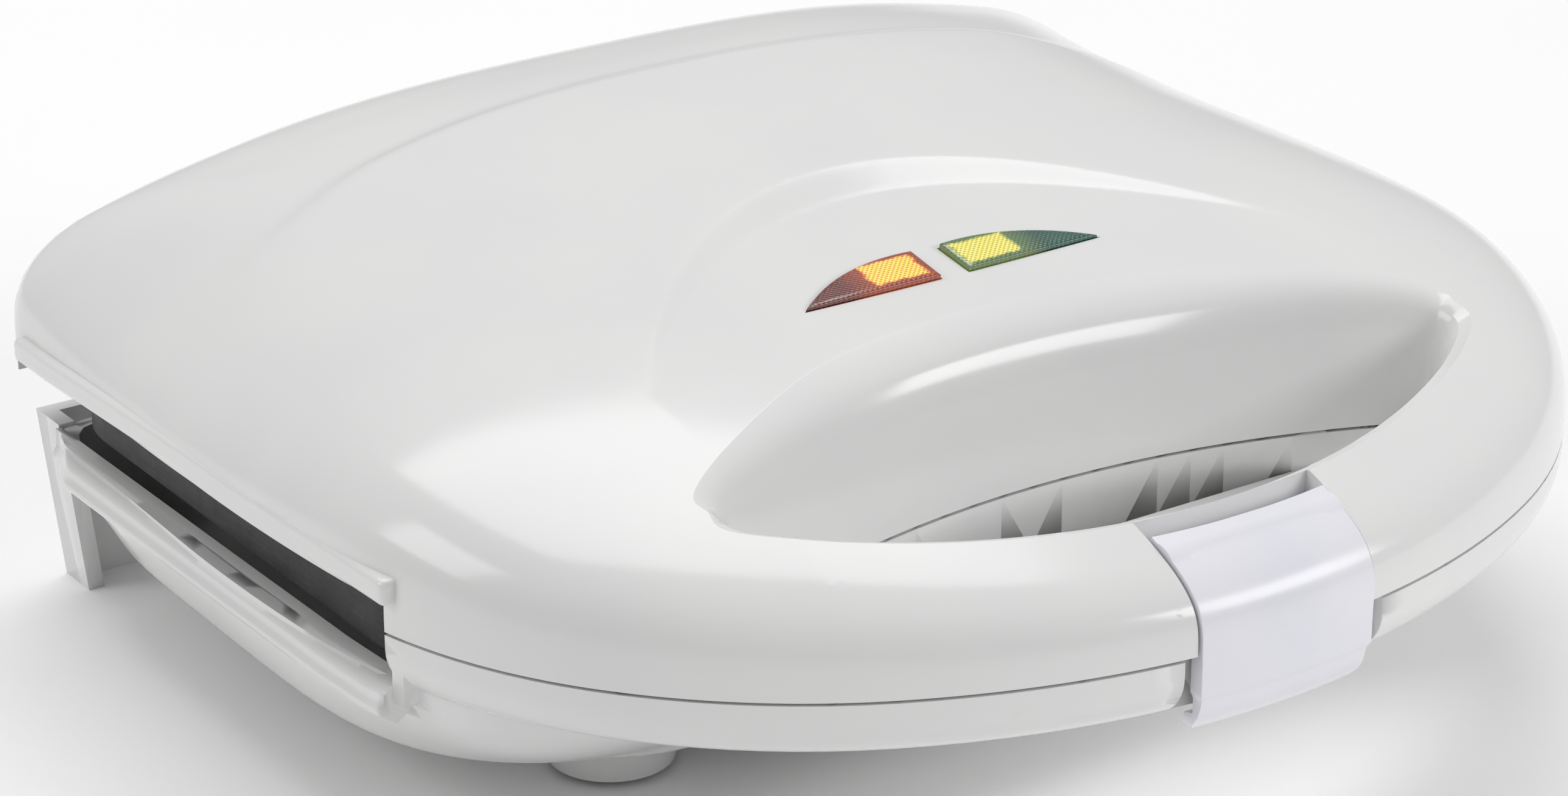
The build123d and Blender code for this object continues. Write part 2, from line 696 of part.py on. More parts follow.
def lid_cover():
    body = lid_shell() + lid_ledges()
    body = latch_bay(body)
    # ribs across the hollow handle
    for x in handle_webs:
        web = box(x, x + rib_thickness, -far, front_curve(x) + handle_depth - 1, parting_height + 2, far)
        body += both(web & lid_form(0.5))
    # side rims stand clear of the base's
    ledge_low = parting_height + ledge_rise
    body -= both(box(ledge_reach - 8, far, side_front, side_rear, parting_height - 1, ledge_low))
    for x in (-hinge_middle, hinge_middle):
        x0, x1 = x - hinge_knuckle / 2, x + hinge_knuckle / 2
        body += hinge_blocks(x0, x1, 1)
        body -= rod_x(x0 - 1, x1 + 1, hinge_y, parting_height, pin_diameter / 2 + knuckle_fit)
    # bosses for the plate screws and the lamp holder
    inside = lid_form(0.5)
    for y in (screw_front, screw_rear):
        low = parting_height + plate_gap / 2 + reflector_depth + reflector_sheet
        body += (Pos(0, y, low + 20) * Cylinder(boss_diameter / 2, 40)) & inside
        depth = screw_length - reflector_depth + 4
        body -= Pos(0, y, low) * Cylinder(screw_diameter / 2 + screw_gap, 2 * depth)
    body += on_lamps(both(holder_post()))
    hole_top = holder_screw_length - lamp_depth - holder_ear_thickness + 0.2
    hole = Pos(holder_half + holder_ear / 2, lamps_place, hole_top - 5) * Cylinder(holder_screw / 2 + 0.05, 10)
    body -= on_lamps(both(hole))
    # windows for the lenses
    window = extrude(Pos(0, 0, -wall - 1) * lens_plan(lamp_gap), wall + 10)
    body -= on_lamps(both(window))
    # seats of the latch pin
    seat = notch_half + latch_pin_seat
    body -= rod_x(-seat, seat, pivot_y, pivot_z, latch_pin_diameter / 2 + ear_fit)
    return body


def latch_pin():
    reach = notch_half + latch_pin_seat - 0.1
    return rod_x(-reach, reach, pivot_y, pivot_z, latch_pin_diameter / 2)


def latch_clip():
    """Clip that follows the handle's surface, with a flared finger lip and a nib under the handle."""
    lip_top = lip_bottom + lip_height
    upper = box(-latch_half, latch_half, -far, pivot_y, parting_height, far)
    lower = box(-latch_half, latch_half, -far, pivot_y, lip_top, parting_height)
    outside = -latch_proud
    inside = latch_thickness - latch_proud
    clip = (lid_form(outside) & upper) - lid_form(inside, 1)
    clip += (plan_prism(outside, lip_top, parting_height) & lower) - plan_prism(inside, 0, far)
    front = front_curve(0) - latch_proud
    back = front + latch_thickness
    lip = ((front, lip_top + 0.6), (front - lip_reach, lip_bottom + 0.8), (front - lip_reach + 0.6, lip_bottom),
           (front - lip_reach + 2.2, lip_bottom), (back, lip_top - 0.6), (back, lip_top + 0.6))
    clip += slab_x(-lip_half, lip_half, lip)
    nib = ((back - 1.0, catch_top), (back + catch_depth, catch_top), (back + catch_depth, catch_top - 0.8),
           (back - 1.0, catch_top - catch_height))
    clip += slab_x(-lip_half + 2, lip_half - 2, nib)
    clip += rod_x(-latch_half, latch_half, pivot_y, pivot_z, latch_barrel)
    clip -= rod_x(-far, far, pivot_y, pivot_z, latch_pin_diameter / 2 + latch_fit)
    return clip


def foot_pads():
    pad = Pos(foot_place_x, foot_place_y, pad_thickness / 2) * Cylinder(pad_diameter / 2, pad_thickness)
    return both(pad)


def to_lid(shape):
    """Turns a piece of the base over to the lid's side of the parting plane."""
    return shape.mirror(Plane(origin=(0, 0, parting_height), z_dir=(0, 0, 1)))


nodes = {
    "base_cover": base_cover,
    "foot_pads": foot_pads,
    "lower_plate": lower_plate,
    "lower_plate_screws": plate_screws,
    "lower_heater": heater,
    "lower_heater_terminals": heater_terminals,
    "lower_reflector": reflector,
    "thermostat": thermostat,
    "thermal_fuse": thermal_fuse,
    "terminal_block": terminal_block,
    "cord_inlet_bush": cord_inlet_bush,
    "hinge_pins": hinge_pins,
    "lid_cover": lid_cover,
    "upper_plate": lambda: to_lid(lower_plate()),
    "upper_plate_screws": lambda: to_lid(plate_screws()),
    "upper_heater": lambda: to_lid(heater()),
    "upper_heater_terminals": lambda: to_lid(heater_terminals()),
    "upper_reflector": lambda: to_lid(reflector()),
    "red_lens": lambda: lens(-1),
    "green_lens": lambda: lens(1),
    "lamp_holder": lamp_holder,
    "lamp_holder_screws": holder_screws,
    "red_neon_lamp": lambda: neon_lamp(-1),
    "green_neon_lamp": lambda: neon_lamp(1),
    "latch_pin": latch_pin,
    "latch_clip": latch_clip,
}

os.makedirs("parts", exist_ok=True)
for name, make in nodes.items():
    export_step(make(), f"parts/{name}.step")
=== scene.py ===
import bpy
import bmesh
import math
import numpy as np
from mathutils import Matrix, Vector


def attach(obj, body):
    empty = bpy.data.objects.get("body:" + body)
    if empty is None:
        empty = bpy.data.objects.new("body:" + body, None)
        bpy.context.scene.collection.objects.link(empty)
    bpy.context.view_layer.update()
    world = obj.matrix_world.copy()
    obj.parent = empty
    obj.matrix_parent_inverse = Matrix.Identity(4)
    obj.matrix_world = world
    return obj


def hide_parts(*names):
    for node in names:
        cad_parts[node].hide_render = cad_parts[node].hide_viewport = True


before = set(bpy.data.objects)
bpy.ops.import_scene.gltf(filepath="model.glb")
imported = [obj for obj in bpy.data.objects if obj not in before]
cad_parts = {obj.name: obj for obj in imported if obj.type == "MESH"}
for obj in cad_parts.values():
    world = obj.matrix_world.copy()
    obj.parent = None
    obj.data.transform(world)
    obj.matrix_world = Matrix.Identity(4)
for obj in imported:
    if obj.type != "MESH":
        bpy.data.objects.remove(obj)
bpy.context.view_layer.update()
mm = 0.001
print("frame loaded")


# Helpers for nodes and colours

def linearColour(hexText):
    channels = [int(hexText[i:i + 2], 16) / 255 for i in (1, 3, 5)]
    linear = [c / 12.92 if c <= 0.04045 else ((c + 0.055) / 1.055) ** 2.4 for c in channels]
    return (*linear, 1.0)


def addNode(tree, kind, settings=None, links=None):
    # adds one node; a setting is an input's value or a property, a link is a socket that feeds an input
    node = tree.nodes.new(kind)
    for key, value in (settings or {}).items():
        if isinstance(key, str) and hasattr(node, key):
            setattr(node, key, value)
        else:
            node.inputs[key].default_value = value
    for key, source in (links or {}).items():
        tree.links.new(source, node.inputs[key])
    return node


def newMaterial(name, colour, roughness, metallic=0.0, ior=None):
    material = bpy.data.materials.new(name)
    material.use_nodes = True
    shader = material.node_tree.nodes["Principled BSDF"]
    shader.inputs["Base Color"].default_value = linearColour(colour)
    shader.inputs["Roughness"].default_value = roughness
    shader.inputs["Metallic"].default_value = metallic
    if ior:
        shader.inputs["IOR"].default_value = ior
    coordinates = addNode(material.node_tree, "ShaderNodeTexCoord")
    return material, material.node_tree, shader, coordinates.outputs["Object"]


def grainNoise(tree, place, grain, detail):
    # noise with grains about this many mm wide
    settings = {"Scale": 1 / (grain * mm), "Detail": detail}
    return addNode(tree, "ShaderNodeTexNoise", settings, {"Vector": place}).outputs["Fac"]


def maths(tree, operation, first, second=None, factor=None):
    # math node on a socket with another socket or a fixed number
    settings = {"operation": operation}
    links = {0: first}
    if factor is not None:
        settings[1] = factor
    if second is not None:
        links[1] = second
    return addNode(tree, "ShaderNodeMath", settings, links).outputs["Value"]


def rampColours(tree, source, colours, low, high):
    # colour that runs from the first hex value to the second between two values of the source
    ramp = addNode(tree, "ShaderNodeValToRGB", None, {"Fac": source})
    for element, position, colour in zip(ramp.color_ramp.elements, (low, high), colours):
        element.position = position
        element.color = linearColour(colour)
    return ramp


def mapRange(tree, value, settings):
    # a value spread from one range to another
    return addNode(tree, "ShaderNodeMapRange", settings, {"Value": value}).outputs["Result"]


def raised(tree, shader, height, distance, strength=1.0):
    # bump whose full height stands for the distance in mm
    settings = {"Strength": strength, "Distance": distance * mm}
    bump = addNode(tree, "ShaderNodeBump", settings, {"Height": height})
    tree.links.new(bump.outputs["Normal"], shader.inputs["Normal"])


def varied(tree, shader, place, colours, grain):
    # the colour drifts between two hex values over patches of about the grain
    ramp = rampColours(tree, grainNoise(tree, place, grain, 3.0), colours, 0.35, 0.65)
    tree.links.new(ramp.outputs["Color"], shader.inputs["Base Color"])


def roughened(tree, shader, place, low, high, grain):
    # the roughness wanders between two values
    spread = mapRange(tree, grainNoise(tree, place, grain, 4.0), {"To Min": low, "To Max": high})
    tree.links.new(spread, shader.inputs["Roughness"])


def bumped(tree, shader, place, grain, height, detail=2.0, stretch=(1, 1, 1)):
    # grain and height in mm; stretch squeezes the grain along an axis
    mapping = addNode(tree, "ShaderNodeMapping", {"Scale": stretch}, {"Vector": place})
    raised(tree, shader, grainNoise(tree, mapping.outputs["Vector"], grain, detail), height)


# Materials, each named for the real one

def glossAbs():
    # injection moulded gloss ABS: bright white, soft reflections with the faint waviness of a moulding
    material, tree, shader, place = newMaterial("GlossAbsWhite", "#E6E6E6", 0.16, ior=1.54)
    varied(tree, shader, place, ("#E5E5E5", "#E8E8E7"), 38.0)
    roughened(tree, shader, place, 0.12, 0.20, 14.0)
    bumped(tree, shader, place, 6.0, 0.010)
    return material


def glossNylon():
    # moulded nylon of the latch: a little cooler and duller than the covers
    material, tree, shader, place = newMaterial("GlossNylonCoolWhite", "#EAEAF2", 0.24, ior=1.53)
    varied(tree, shader, place, ("#E9E9F1", "#EDEDF3"), 16.0)
    roughened(tree, shader, place, 0.20, 0.28, 7.0)
    bumped(tree, shader, place, 3.0, 0.008)
    return material


def nonStickCoating():
    # sprayed black non-stick coating on cast aluminium: satin, with the marks of the turned edge
    material, tree, shader, place = newMaterial("NonStickCoatingBlack", "#19191A", 0.42, ior=1.38)
    mapping = addNode(tree, "ShaderNodeMapping", {"Scale": (1, 1, 16)}, {"Vector": place})
    streaks = addNode(tree, "ShaderNodeTexNoise", {"Scale": 1 / (9.0 * mm), "Detail": 5.0, "Roughness": 0.6},
                      {"Vector": mapping.outputs["Vector"]}).outputs["Fac"]
    ramp = rampColours(tree, streaks, ("#121213", "#2C2C2D"), 0.38, 0.70)
    tree.links.new(ramp.outputs["Color"], shader.inputs["Base Color"])
    raised(tree, shader, maths(tree, "ADD", streaks, grainNoise(tree, place, 0.5, 2.0)), 0.05, 0.7)
    roughened(tree, shader, place, 0.34, 0.50, 2.0)
    return material


def metalOf(name, colours, roughness, grain, stretch):
    # drawn, plated or pressed metal: fine marks along one way and a slightly uneven sheen
    material, tree, shader, place = newMaterial(name, colours[0], roughness, metallic=1.0)
    varied(tree, shader, place, colours, grain * 6)
    roughened(tree, shader, place, roughness * 0.8, roughness * 1.25, grain * 2)
    bumped(tree, shader, place, grain, 0.01, 3.0, stretch)
    return material


def dullPlastic(name, colours, roughness, grain, height):
    # matt heat resistant plastic, ceramic or rubber: fine even grain and no mirror reflections
    material, tree, shader, place = newMaterial(name, colours[0], roughness, ior=1.5)
    varied(tree, shader, place, colours, grain * 12)
    roughened(tree, shader, place, roughness * 0.9, min(roughness * 1.1, 1.0), grain * 4)
    bumped(tree, shader, place, grain, height)
    return material


# where and how the neon lamps' light is painted on the lenses as a glow
lampGlow = {
    "pitch": 0.95,                  # prisms seen through the lens, in mm
    "places": {-1: (-9.6, -17.4, 75.0), 1: (8.8, -17.6, 75.0)},      # lamps behind the left and right lens
    "reach": (5.4, 3.2, 6.0),       # half size of the glowing patch
    "fringe": 1.6,                  # grain of its uneven edge
    "fringeShare": 0.35,            # how uneven the edge is
    "hot": "#FFE65A",
}


def prismPattern(tree, place):
    # 0 to 1 in rows and columns of small prisms
    parts = addNode(tree, "ShaderNodeSeparateXYZ", None, {"Vector": place})
    waves = []
    for axis in ("X", "Y"):
        angle = maths(tree, "MULTIPLY", parts.outputs[axis], factor=2 * math.pi / (lampGlow["pitch"] * mm))
        waves.append(maths(tree, "SINE", angle))
    return mapRange(tree, maths(tree, "MULTIPLY", *waves), {"From Min": -0.75, "From Max": 0.75})


def glowDistance(tree, place, side):
    # distance from the lamp behind the lens as a share of the painted glowing patch, with an uneven edge
    middle = [c * mm for c in lampGlow["places"][side]]
    reach = [c * mm for c in lampGlow["reach"]]
    where = place
    for operation, second in (("SUBTRACT", middle), ("DIVIDE", reach), ("ABSOLUTE", (0, 0, 0))):
        step = addNode(tree, "ShaderNodeVectorMath", {"operation": operation, 1: second}, {0: where})
        where = step.outputs["Vector"]
    sides = addNode(tree, "ShaderNodeSeparateXYZ", None, {"Vector": where})
    away = maths(tree, "MAXIMUM", sides.outputs["X"], sides.outputs["Y"])
    fringe = grainNoise(tree, place, lampGlow["fringe"], 1.0)
    return maths(tree, "ADD", maths(tree, "MULTIPLY", fringe, factor=lampGlow["fringeShare"]), away)


def tintedLens(name, side, colours, glow):
    # clear tinted polycarbonate over rows of small prisms, which break up the neon lamp's light behind them;
    # that light is painted on the lens as a glowing patch
    material, tree, shader, place = newMaterial(name, colours[0], 0.12, ior=1.585)
    prisms = prismPattern(tree, place)
    blend = maths(tree, "MULTIPLY", prisms, grainNoise(tree, place, 5.0, 3.0))
    tint = rampColours(tree, blend, colours, 0.0, 0.8)
    tree.links.new(tint.outputs["Color"], shader.inputs["Base Color"])
    # painted glow: emission on the lens stands for the lamp's light, strongest over the lamp and in the
    # prism cells, with a faint fading halo
    away = glowDistance(tree, place, side)
    patch = mapRange(tree, away, {"From Min": 1.22, "From Max": 1.02})
    cells = mapRange(tree, prisms, {"From Min": 0.15, "From Max": 0.55, "To Min": 0.3, "To Max": 1.0})
    fading = {"From Min": 2.3, "From Max": 1.0, "To Max": 0.09, "interpolation_type": "SMOOTHSTEP"}
    total = maths(tree, "ADD", maths(tree, "MULTIPLY", patch, cells), mapRange(tree, away, fading))
    warm = rampColours(tree, total, ("#000000", lampGlow["hot"]), 0.0, 0.85)
    ember = warm.color_ramp.elements.new(0.22)
    ember.color = linearColour(glow)
    tree.links.new(warm.outputs["Color"], shader.inputs["Emission Color"])
    shader.inputs["Emission Strength"].default_value = 1.0
    raised(tree, shader, prisms, 0.12, 0.35)
    shader.inputs["Coat Weight"].default_value = 1.0
    shader.inputs["Coat Roughness"].default_value = 0.05
    return material


def neonGlass():
    # thin clear glass of the neon lamp with a faint warm glow inside
    material, tree, shader, place = newMaterial("NeonLampGlass", "#F6D9B0", 0.05, ior=1.5)
    varied(tree, shader, place, ("#F6D9B0", "#F0C48C"), 4.0)
    shader.inputs["Emission Color"].default_value = linearColour("#FF9A3C")
    shader.inputs["Emission Strength"].default_value = 1.5
    return material


finishes = {
    "whiteAbs": glossAbs(),
    "redLens": tintedLens("TintedPolycarbonateRed", -1, ("#4A120B", "#93301E"), "#C0520E"),
    "greenLens": tintedLens("TintedPolycarbonateGreen", 1, ("#0C3B33", "#267A66"), "#8A8A0C"),
    "neonGlass": neonGlass(),
    "latchNylon": glossNylon(),
    "nonStick": nonStickCoating(),
    "zincSteel": metalOf("ZincPlatedSteel", ("#B9BABC", "#A9AAAD"), 0.32, 0.5, (1, 1, 1)),
    "drawnSteel": metalOf("DrawnSteel", ("#C3C3C4", "#B0B0B2"), 0.25, 0.3, (0.1, 1, 1)),
    "heaterSheath": metalOf("OxidisedHeaterSheath", ("#6E6A62", "#57524A"), 0.45, 0.6, (0.2, 1, 1)),
    "brightSheet": metalOf("BrightAluminiumSheet", ("#DADADB", "#CCCCCE"), 0.18, 0.8, (0.08, 1, 1)),
    "platedCase": metalOf("PlatedThermostatCase", ("#B5B2AC", "#A29F99"), 0.3, 0.6, (1, 1, 1)),
    "ceramic": dullPlastic("SteatiteCeramic", ("#E2DBC9", "#D6CEBA"), 0.45, 0.4, 0.01),
    "sleeve": dullPlastic("WovenGlassSleeve", ("#CFCDC2", "#BDBAAD"), 0.8, 0.5, 0.08),
    "blockPlastic": dullPlastic("PolyamideTerminalBlock", ("#D8D2C0", "#CEC8B4"), 0.55, 0.3, 0.01),
    "bushPlastic": dullPlastic("SoftVinylBush", ("#DADCDC", "#CFD1D1"), 0.6, 0.3, 0.01),
    "holderPlastic": dullPlastic("HeatResistantNylon", ("#D9D9D6", "#CFCFCC"), 0.5, 0.3, 0.01),
    "rubber": dullPlastic("GreyRubber", ("#3A3A3C", "#303032"), 0.85, 0.3, 0.02),
}
print("materials made")


# Mesh helpers

def newObject(name, data):
    thing = bpy.data.objects.new(name, data)
    bpy.context.scene.collection.objects.link(thing)
    return thing


def meshObject(name, points, faces):
    # points in mm
    mesh = bpy.data.meshes.new(name)
    mesh.from_pydata((np.asarray(points, float) * mm).tolist(), [], [list(map(int, f)) for f in faces])
    mesh.update()
    return newObject(name, mesh)


def outwardNormals(thing):
    # joins double points and turns every face outwards
    form = bmesh.new()
    form.from_mesh(thing.data)
    bmesh.ops.remove_doubles(form, verts=form.verts, dist=0.001 * mm)
    bmesh.ops.recalc_face_normals(form, faces=form.faces)
    form.to_mesh(thing.data)
    form.free()
    return thing


def smoothShade(thing, degrees=35.0):
    # smooth shading that keeps edges sharper than the angle
    thing.data.polygons.foreach_set("use_smooth", [True] * len(thing.data.polygons))
    thing.data.set_sharp_from_angle(angle=math.radians(degrees))


def mergedCopy(node, name):
    # copy of a CAD node with its loose triangles joined, so that curved faces shade smoothly
    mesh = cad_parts[node].data.copy()
    mesh.name = name
    form = bmesh.new()
    form.from_mesh(mesh)
    bmesh.ops.remove_doubles(form, verts=form.verts, dist=0.0002 * mm)
    form.to_mesh(mesh)
    form.free()
    return newObject(name, mesh)


def applyModifiers(thing):
    # puts what the modifiers make of the thing into its mesh
    bpy.context.view_layer.update()
    shaped = bpy.data.meshes.new_from_object(thing.evaluated_get(bpy.context.evaluated_depsgraph_get()))
    thing.modifiers.clear()
    thing.data = shaped


def carve(thing, tool, operation="DIFFERENCE"):
    # boolean with a closed tool, which is then removed
    step = thing.modifiers.new("carve", "BOOLEAN")
    step.solver = "MANIFOLD"
    step.operation = operation
    step.object = tool
    applyModifiers(thing)
    if not thing.data.polygons:
        raise RuntimeError("nothing left after a boolean on " + thing.name)
    bpy.data.objects.remove(tool)


def stackedRings(name, rings):
    # solid through rings of points, closed at both ends
    count = len(rings[0])
    faces = [tuple(range(count)), tuple(range((len(rings) - 1) * count, len(rings) * count))]
    for level in range(len(rings) - 1):
        for i in range(count):
            a, b = level * count + i, level * count + (i + 1) % count
            faces.append((a, b, b + count, a + count))
    points = np.concatenate([np.asarray(ring, float) for ring in rings])
    return outwardNormals(meshObject(name, points, faces))


def closedRing(name, rings):
    # closes rings of points into a solid; the last ring joins the first
    index = np.arange(len(rings) * len(rings[0])).reshape(len(rings), -1)
    beside = np.roll(index, -1, 1)
    faces = np.stack([index, beside, np.roll(beside, -1, 0), np.roll(index, -1, 0)], 2).reshape(-1, 4)
    return outwardNormals(meshObject(name, np.concatenate(rings), faces))


def boxBetween(name, low, high):
    # box between two corners
    (x0, y0, z0), (x1, y1, z1) = low, high
    return stackedRings(name, [[(x0, y0, z), (x1, y0, z), (x1, y1, z), (x0, y1, z)] for z in (z0, z1)])


def slabAlongX(name, x0, x1, profile):
    # prism along X from a closed profile of Y and Z
    return stackedRings(name, [[(x, y, z) for y, z in profile] for x in (x0, x1)])


def prismAlongZ(name, loop, z0, z1):
    # prism along Z from a closed loop of X and Y
    return stackedRings(name, [[(x, y, z) for x, y in loop] for z in (z0, z1)])


def rodAlongX(name, x0, x1, y, z, radius, count=48):
    # round rod along X
    angles = np.linspace(0, 2 * math.pi, count, endpoint=False)
    return slabAlongX(name, x0, x1, [(y + math.cos(a) * radius, z + math.sin(a) * radius) for a in angles])


def copyOf(thing):
    # an object with a mesh of its own
    twin = thing.copy()
    twin.data = thing.data.copy()
    bpy.context.scene.collection.objects.link(twin)
    return twin


def mirrored(thing):
    # a second copy on the other side of the middle plane
    twin = copyOf(thing)
    twin.data.transform(Matrix.Scale(-1, 4, (1, 0, 0)))
    twin.data.flip_normals()
    return twin


def surfaceNormals(grid, around, row):
    # unit normals of a grid of points, turned so that the given row looks up
    normal = np.cross(around, np.gradient(grid, axis=0))
    normal /= np.maximum(np.linalg.norm(normal, axis=2), 1e-9)[:, :, None]
    return normal if normal[row, :, 2].mean() > 0 else -normal


def dress(thing, finish, body, nodes=()):
    thing.data.materials.clear()
    thing.data.materials.append(finishes[finish])
    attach(thing, body)
    if nodes:
        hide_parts(*nodes)


# Outline of both covers from above: smooth arcs through a few points, mirrored

coverPlan = {
    "frontReach": 106.7,            # from the origin to the front of the handle
    "halfWidth": 115.0,
    "frontSweep": 86.7,             # depth of the rounded front
    "frontShares": ((0.539, 0.17), (0.839, 0.5), (0.987, 1.0)),      # points as shares of width and depth
    "bulgePlace": 40.7,             # the covers are widest here
    "rearTaper": 1.5,
    "rearCorner": 9.0,
    "rearReach": 101.4,
    "parting": 43.7,                # height of the parting plane
    "wall": 2.4,
}


def tangentArc(start, heading, end, count=60):
    # arc that leaves the start along the heading and meets the end; gives its points and its last heading
    chord = end - start
    side = np.array([-heading[1], heading[0]])
    across = chord @ side
    centre = start + side * (chord @ chord) / (2 * across)
    turn = 2 * math.atan2(across, chord @ heading)
    angles = np.linspace(0, turn, count)[1:]
    cosines, sines = np.cos(angles), np.sin(angles)
    arm = start - centre
    points = np.stack([cosines * arm[0] - sines * arm[1], sines * arm[0] + cosines * arm[1]], 1) + centre
    c, s = math.cos(turn), math.sin(turn)
    return points, np.array([c * heading[0] - s * heading[1], s * heading[0] + c * heading[1]])


def coverOutline():
    plan = coverPlan
    half = plan["halfWidth"]
    stations = [(x * half, y * plan["frontSweep"] - plan["frontReach"]) for x, y in plan["frontShares"]]
    stations.append((half, plan["bulgePlace"]))
    stations.append((half - plan["rearTaper"], plan["rearReach"] - plan["rearCorner"]))
    start = np.array([0.0, -plan["frontReach"]])
    heading = np.array([1.0, 0.0])
    right = [start[None, :]]
    for station in stations:
        points, heading = tangentArc(start, heading, np.array(station))
        right.append(points)
        start = points[-1]
    turn = (math.atan2(heading[1], heading[0]) + math.pi) / 2
    end = np.array([start[0] - plan["rearCorner"] / math.tan(math.pi - turn), plan["rearReach"]])
    right.append(tangentArc(start, heading, end)[0])
    right.append(np.stack([np.linspace(end[0], 0, 60)[1:], np.full(59, plan["rearReach"])], 1))
    right = np.concatenate(right)
    left = right[1:-1][::-1] * [-1, 1]
    return np.concatenate([right, left])


outline = coverOutline()


def insetLoop(loop, inset):
    # moves a loop inwards that runs anticlockwise
    ahead = np.roll(loop, -1, 0) - np.roll(loop, 1, 0)
    ahead /= np.linalg.norm(ahead, axis=1)[:, None]
    return loop + np.stack([-ahead[:, 1], ahead[:, 0]], 1) * inset


def reachFrom(loop, centre, angles):
    # distance from the centre to the loop in each direction
    arms = loop - centre
    reach = np.linalg.norm(arms, axis=1)
    return np.interp(angles, np.arctan2(arms[:, 1], arms[:, 0]), reach, period=2 * math.pi)


def smoothStep(value, low, high):
    share = np.clip((value - low) / (high - low), 0, 1)
    return share * share * (3 - 2 * share)


# Lid: the skin runs from the finger opening outwards to the rim, ray by ray

lidShape = {
    "centre": (0.0, -66.0),         # rays start here, inside the opening
    "rays": 420,
    "middle": (0.0, -1.3),          # the dome is rounded about this place
    "rise": 34.5,                   # height of the dome over the parting plane at the origin
    "slope": 0.145,                 # it rises to the back
    "boxPlaces": (10.0, 35.0, 60.0, 80.0, 100.0),
    "boxiness": (3.5, 3.6, 3.9, 4.4, 5.5),          # exponent of the rounding towards the rim, front to back
    "riseEase": 0.457,              # how much of the slope is lost behind the crease
    "sideFall": 14.5,               # the lid falls off towards its sides, more so at the back
    "fallPlaces": (-40.0, 80.0),
    "openingRear": -43.0,           # foot of the opening's rear wall in the middle
    "openingBow": 160.0,            # radius of that wall
    "handleDepth": 20.4,
    "openingCorner": 16.0,          # higher is a tighter corner
    "rollFront": 4.5,               # rounding of the opening's rim on the handle
    "rollRear": 10.5,
    "rollPower": (2.1, 2.7),        # roundness of that rounding in front and behind
    "rimRun": 26.0,                 # the rays close up over this width before the rim
    "rimShare": 0.82,               # and over no more than this share of their length
    "visorPlace": 14.9,             # arc behind the lamps
    "visorBow": 0.01064,
    "visorWidth": 6.5,
    "visorDepth": 2.0,
    "visorHalf": 66.0,
    "visorEnds": 0.35,              # at its two ends the step narrows to this share of the width
    "creaseRear": 64.0,             # shallow crease across the back of the lid
    "creaseBow": 0.0016,
    "creaseDepth": 1.0,
    "creaseEase": (-1.5, 3.5),      # its step runs from before to behind its line
    "creaseSides": (70.0, 104.0),   # it fades out between these
    "top": 87.0,                    # the dome never rises above this
}


def domeHeight(x, y):
    # height of the lid's outside over any place, without the opening
    shape = lidShape
    middle = shape["middle"]
    angle = np.arctan2(y - middle[1], x - middle[0])
    share = np.hypot(x - middle[0], y - middle[1]) / reachFrom(outline, middle, angle)
    share = np.clip(share, 0, 1)
    power = np.interp(y, shape["boxPlaces"], shape["boxiness"])
    crease = shape["creaseRear"] - shape["creaseBow"] * x**2
    # the rise eases off behind the crease
    behind = np.maximum(y - crease, 0)
    rise = shape["rise"] + shape["slope"] * (y - middle[1] - shape["riseEase"] * behind)
    rise -= shape["sideFall"] * smoothStep(y, *shape["fallPlaces"]) * (np.abs(x) / 100.0) ** 3
    beside = 1 - smoothStep(np.abs(x), *shape["creaseSides"])
    rise -= shape["creaseDepth"] * smoothStep(y - crease, *shape["creaseEase"]) * beside
    arc = shape["visorPlace"] - shape["visorBow"] * x**2
    fade = np.clip(1 - (x / shape["visorHalf"])**2, 0, 1)
    width = shape["visorWidth"] * (shape["visorEnds"] + (1 - shape["visorEnds"]) * fade)
    slope = np.clip((arc - y) / width, -0.2, 1.2)
    slope = 0.8 * np.clip(slope, 0, 1) + 0.2 * smoothStep(slope, -0.2, 1.2)
    rise -= shape["visorDepth"] * fade * slope
    return coverPlan["parting"] + rise * (1 - share**power) ** (1 / power)


def openingReach(angles):
    # from the rays' centre to the finger opening: the handle's inner line in front, a wide bow behind
    shape = lidShape
    centre = np.array(shape["centre"])
    front = reachFrom(insetLoop(outline, shape["handleDepth"]), centre, angles)
    heading = np.stack([np.cos(angles), np.sin(angles)], 1)
    arm = centre - np.array([0.0, shape["openingRear"] - shape["openingBow"]])
    along = heading @ arm
    bow = -along + np.sqrt(along**2 - arm @ arm + shape["openingBow"]**2)
    power = shape["openingCorner"]
    return (front**-power + bow**-power) ** (-1 / power)


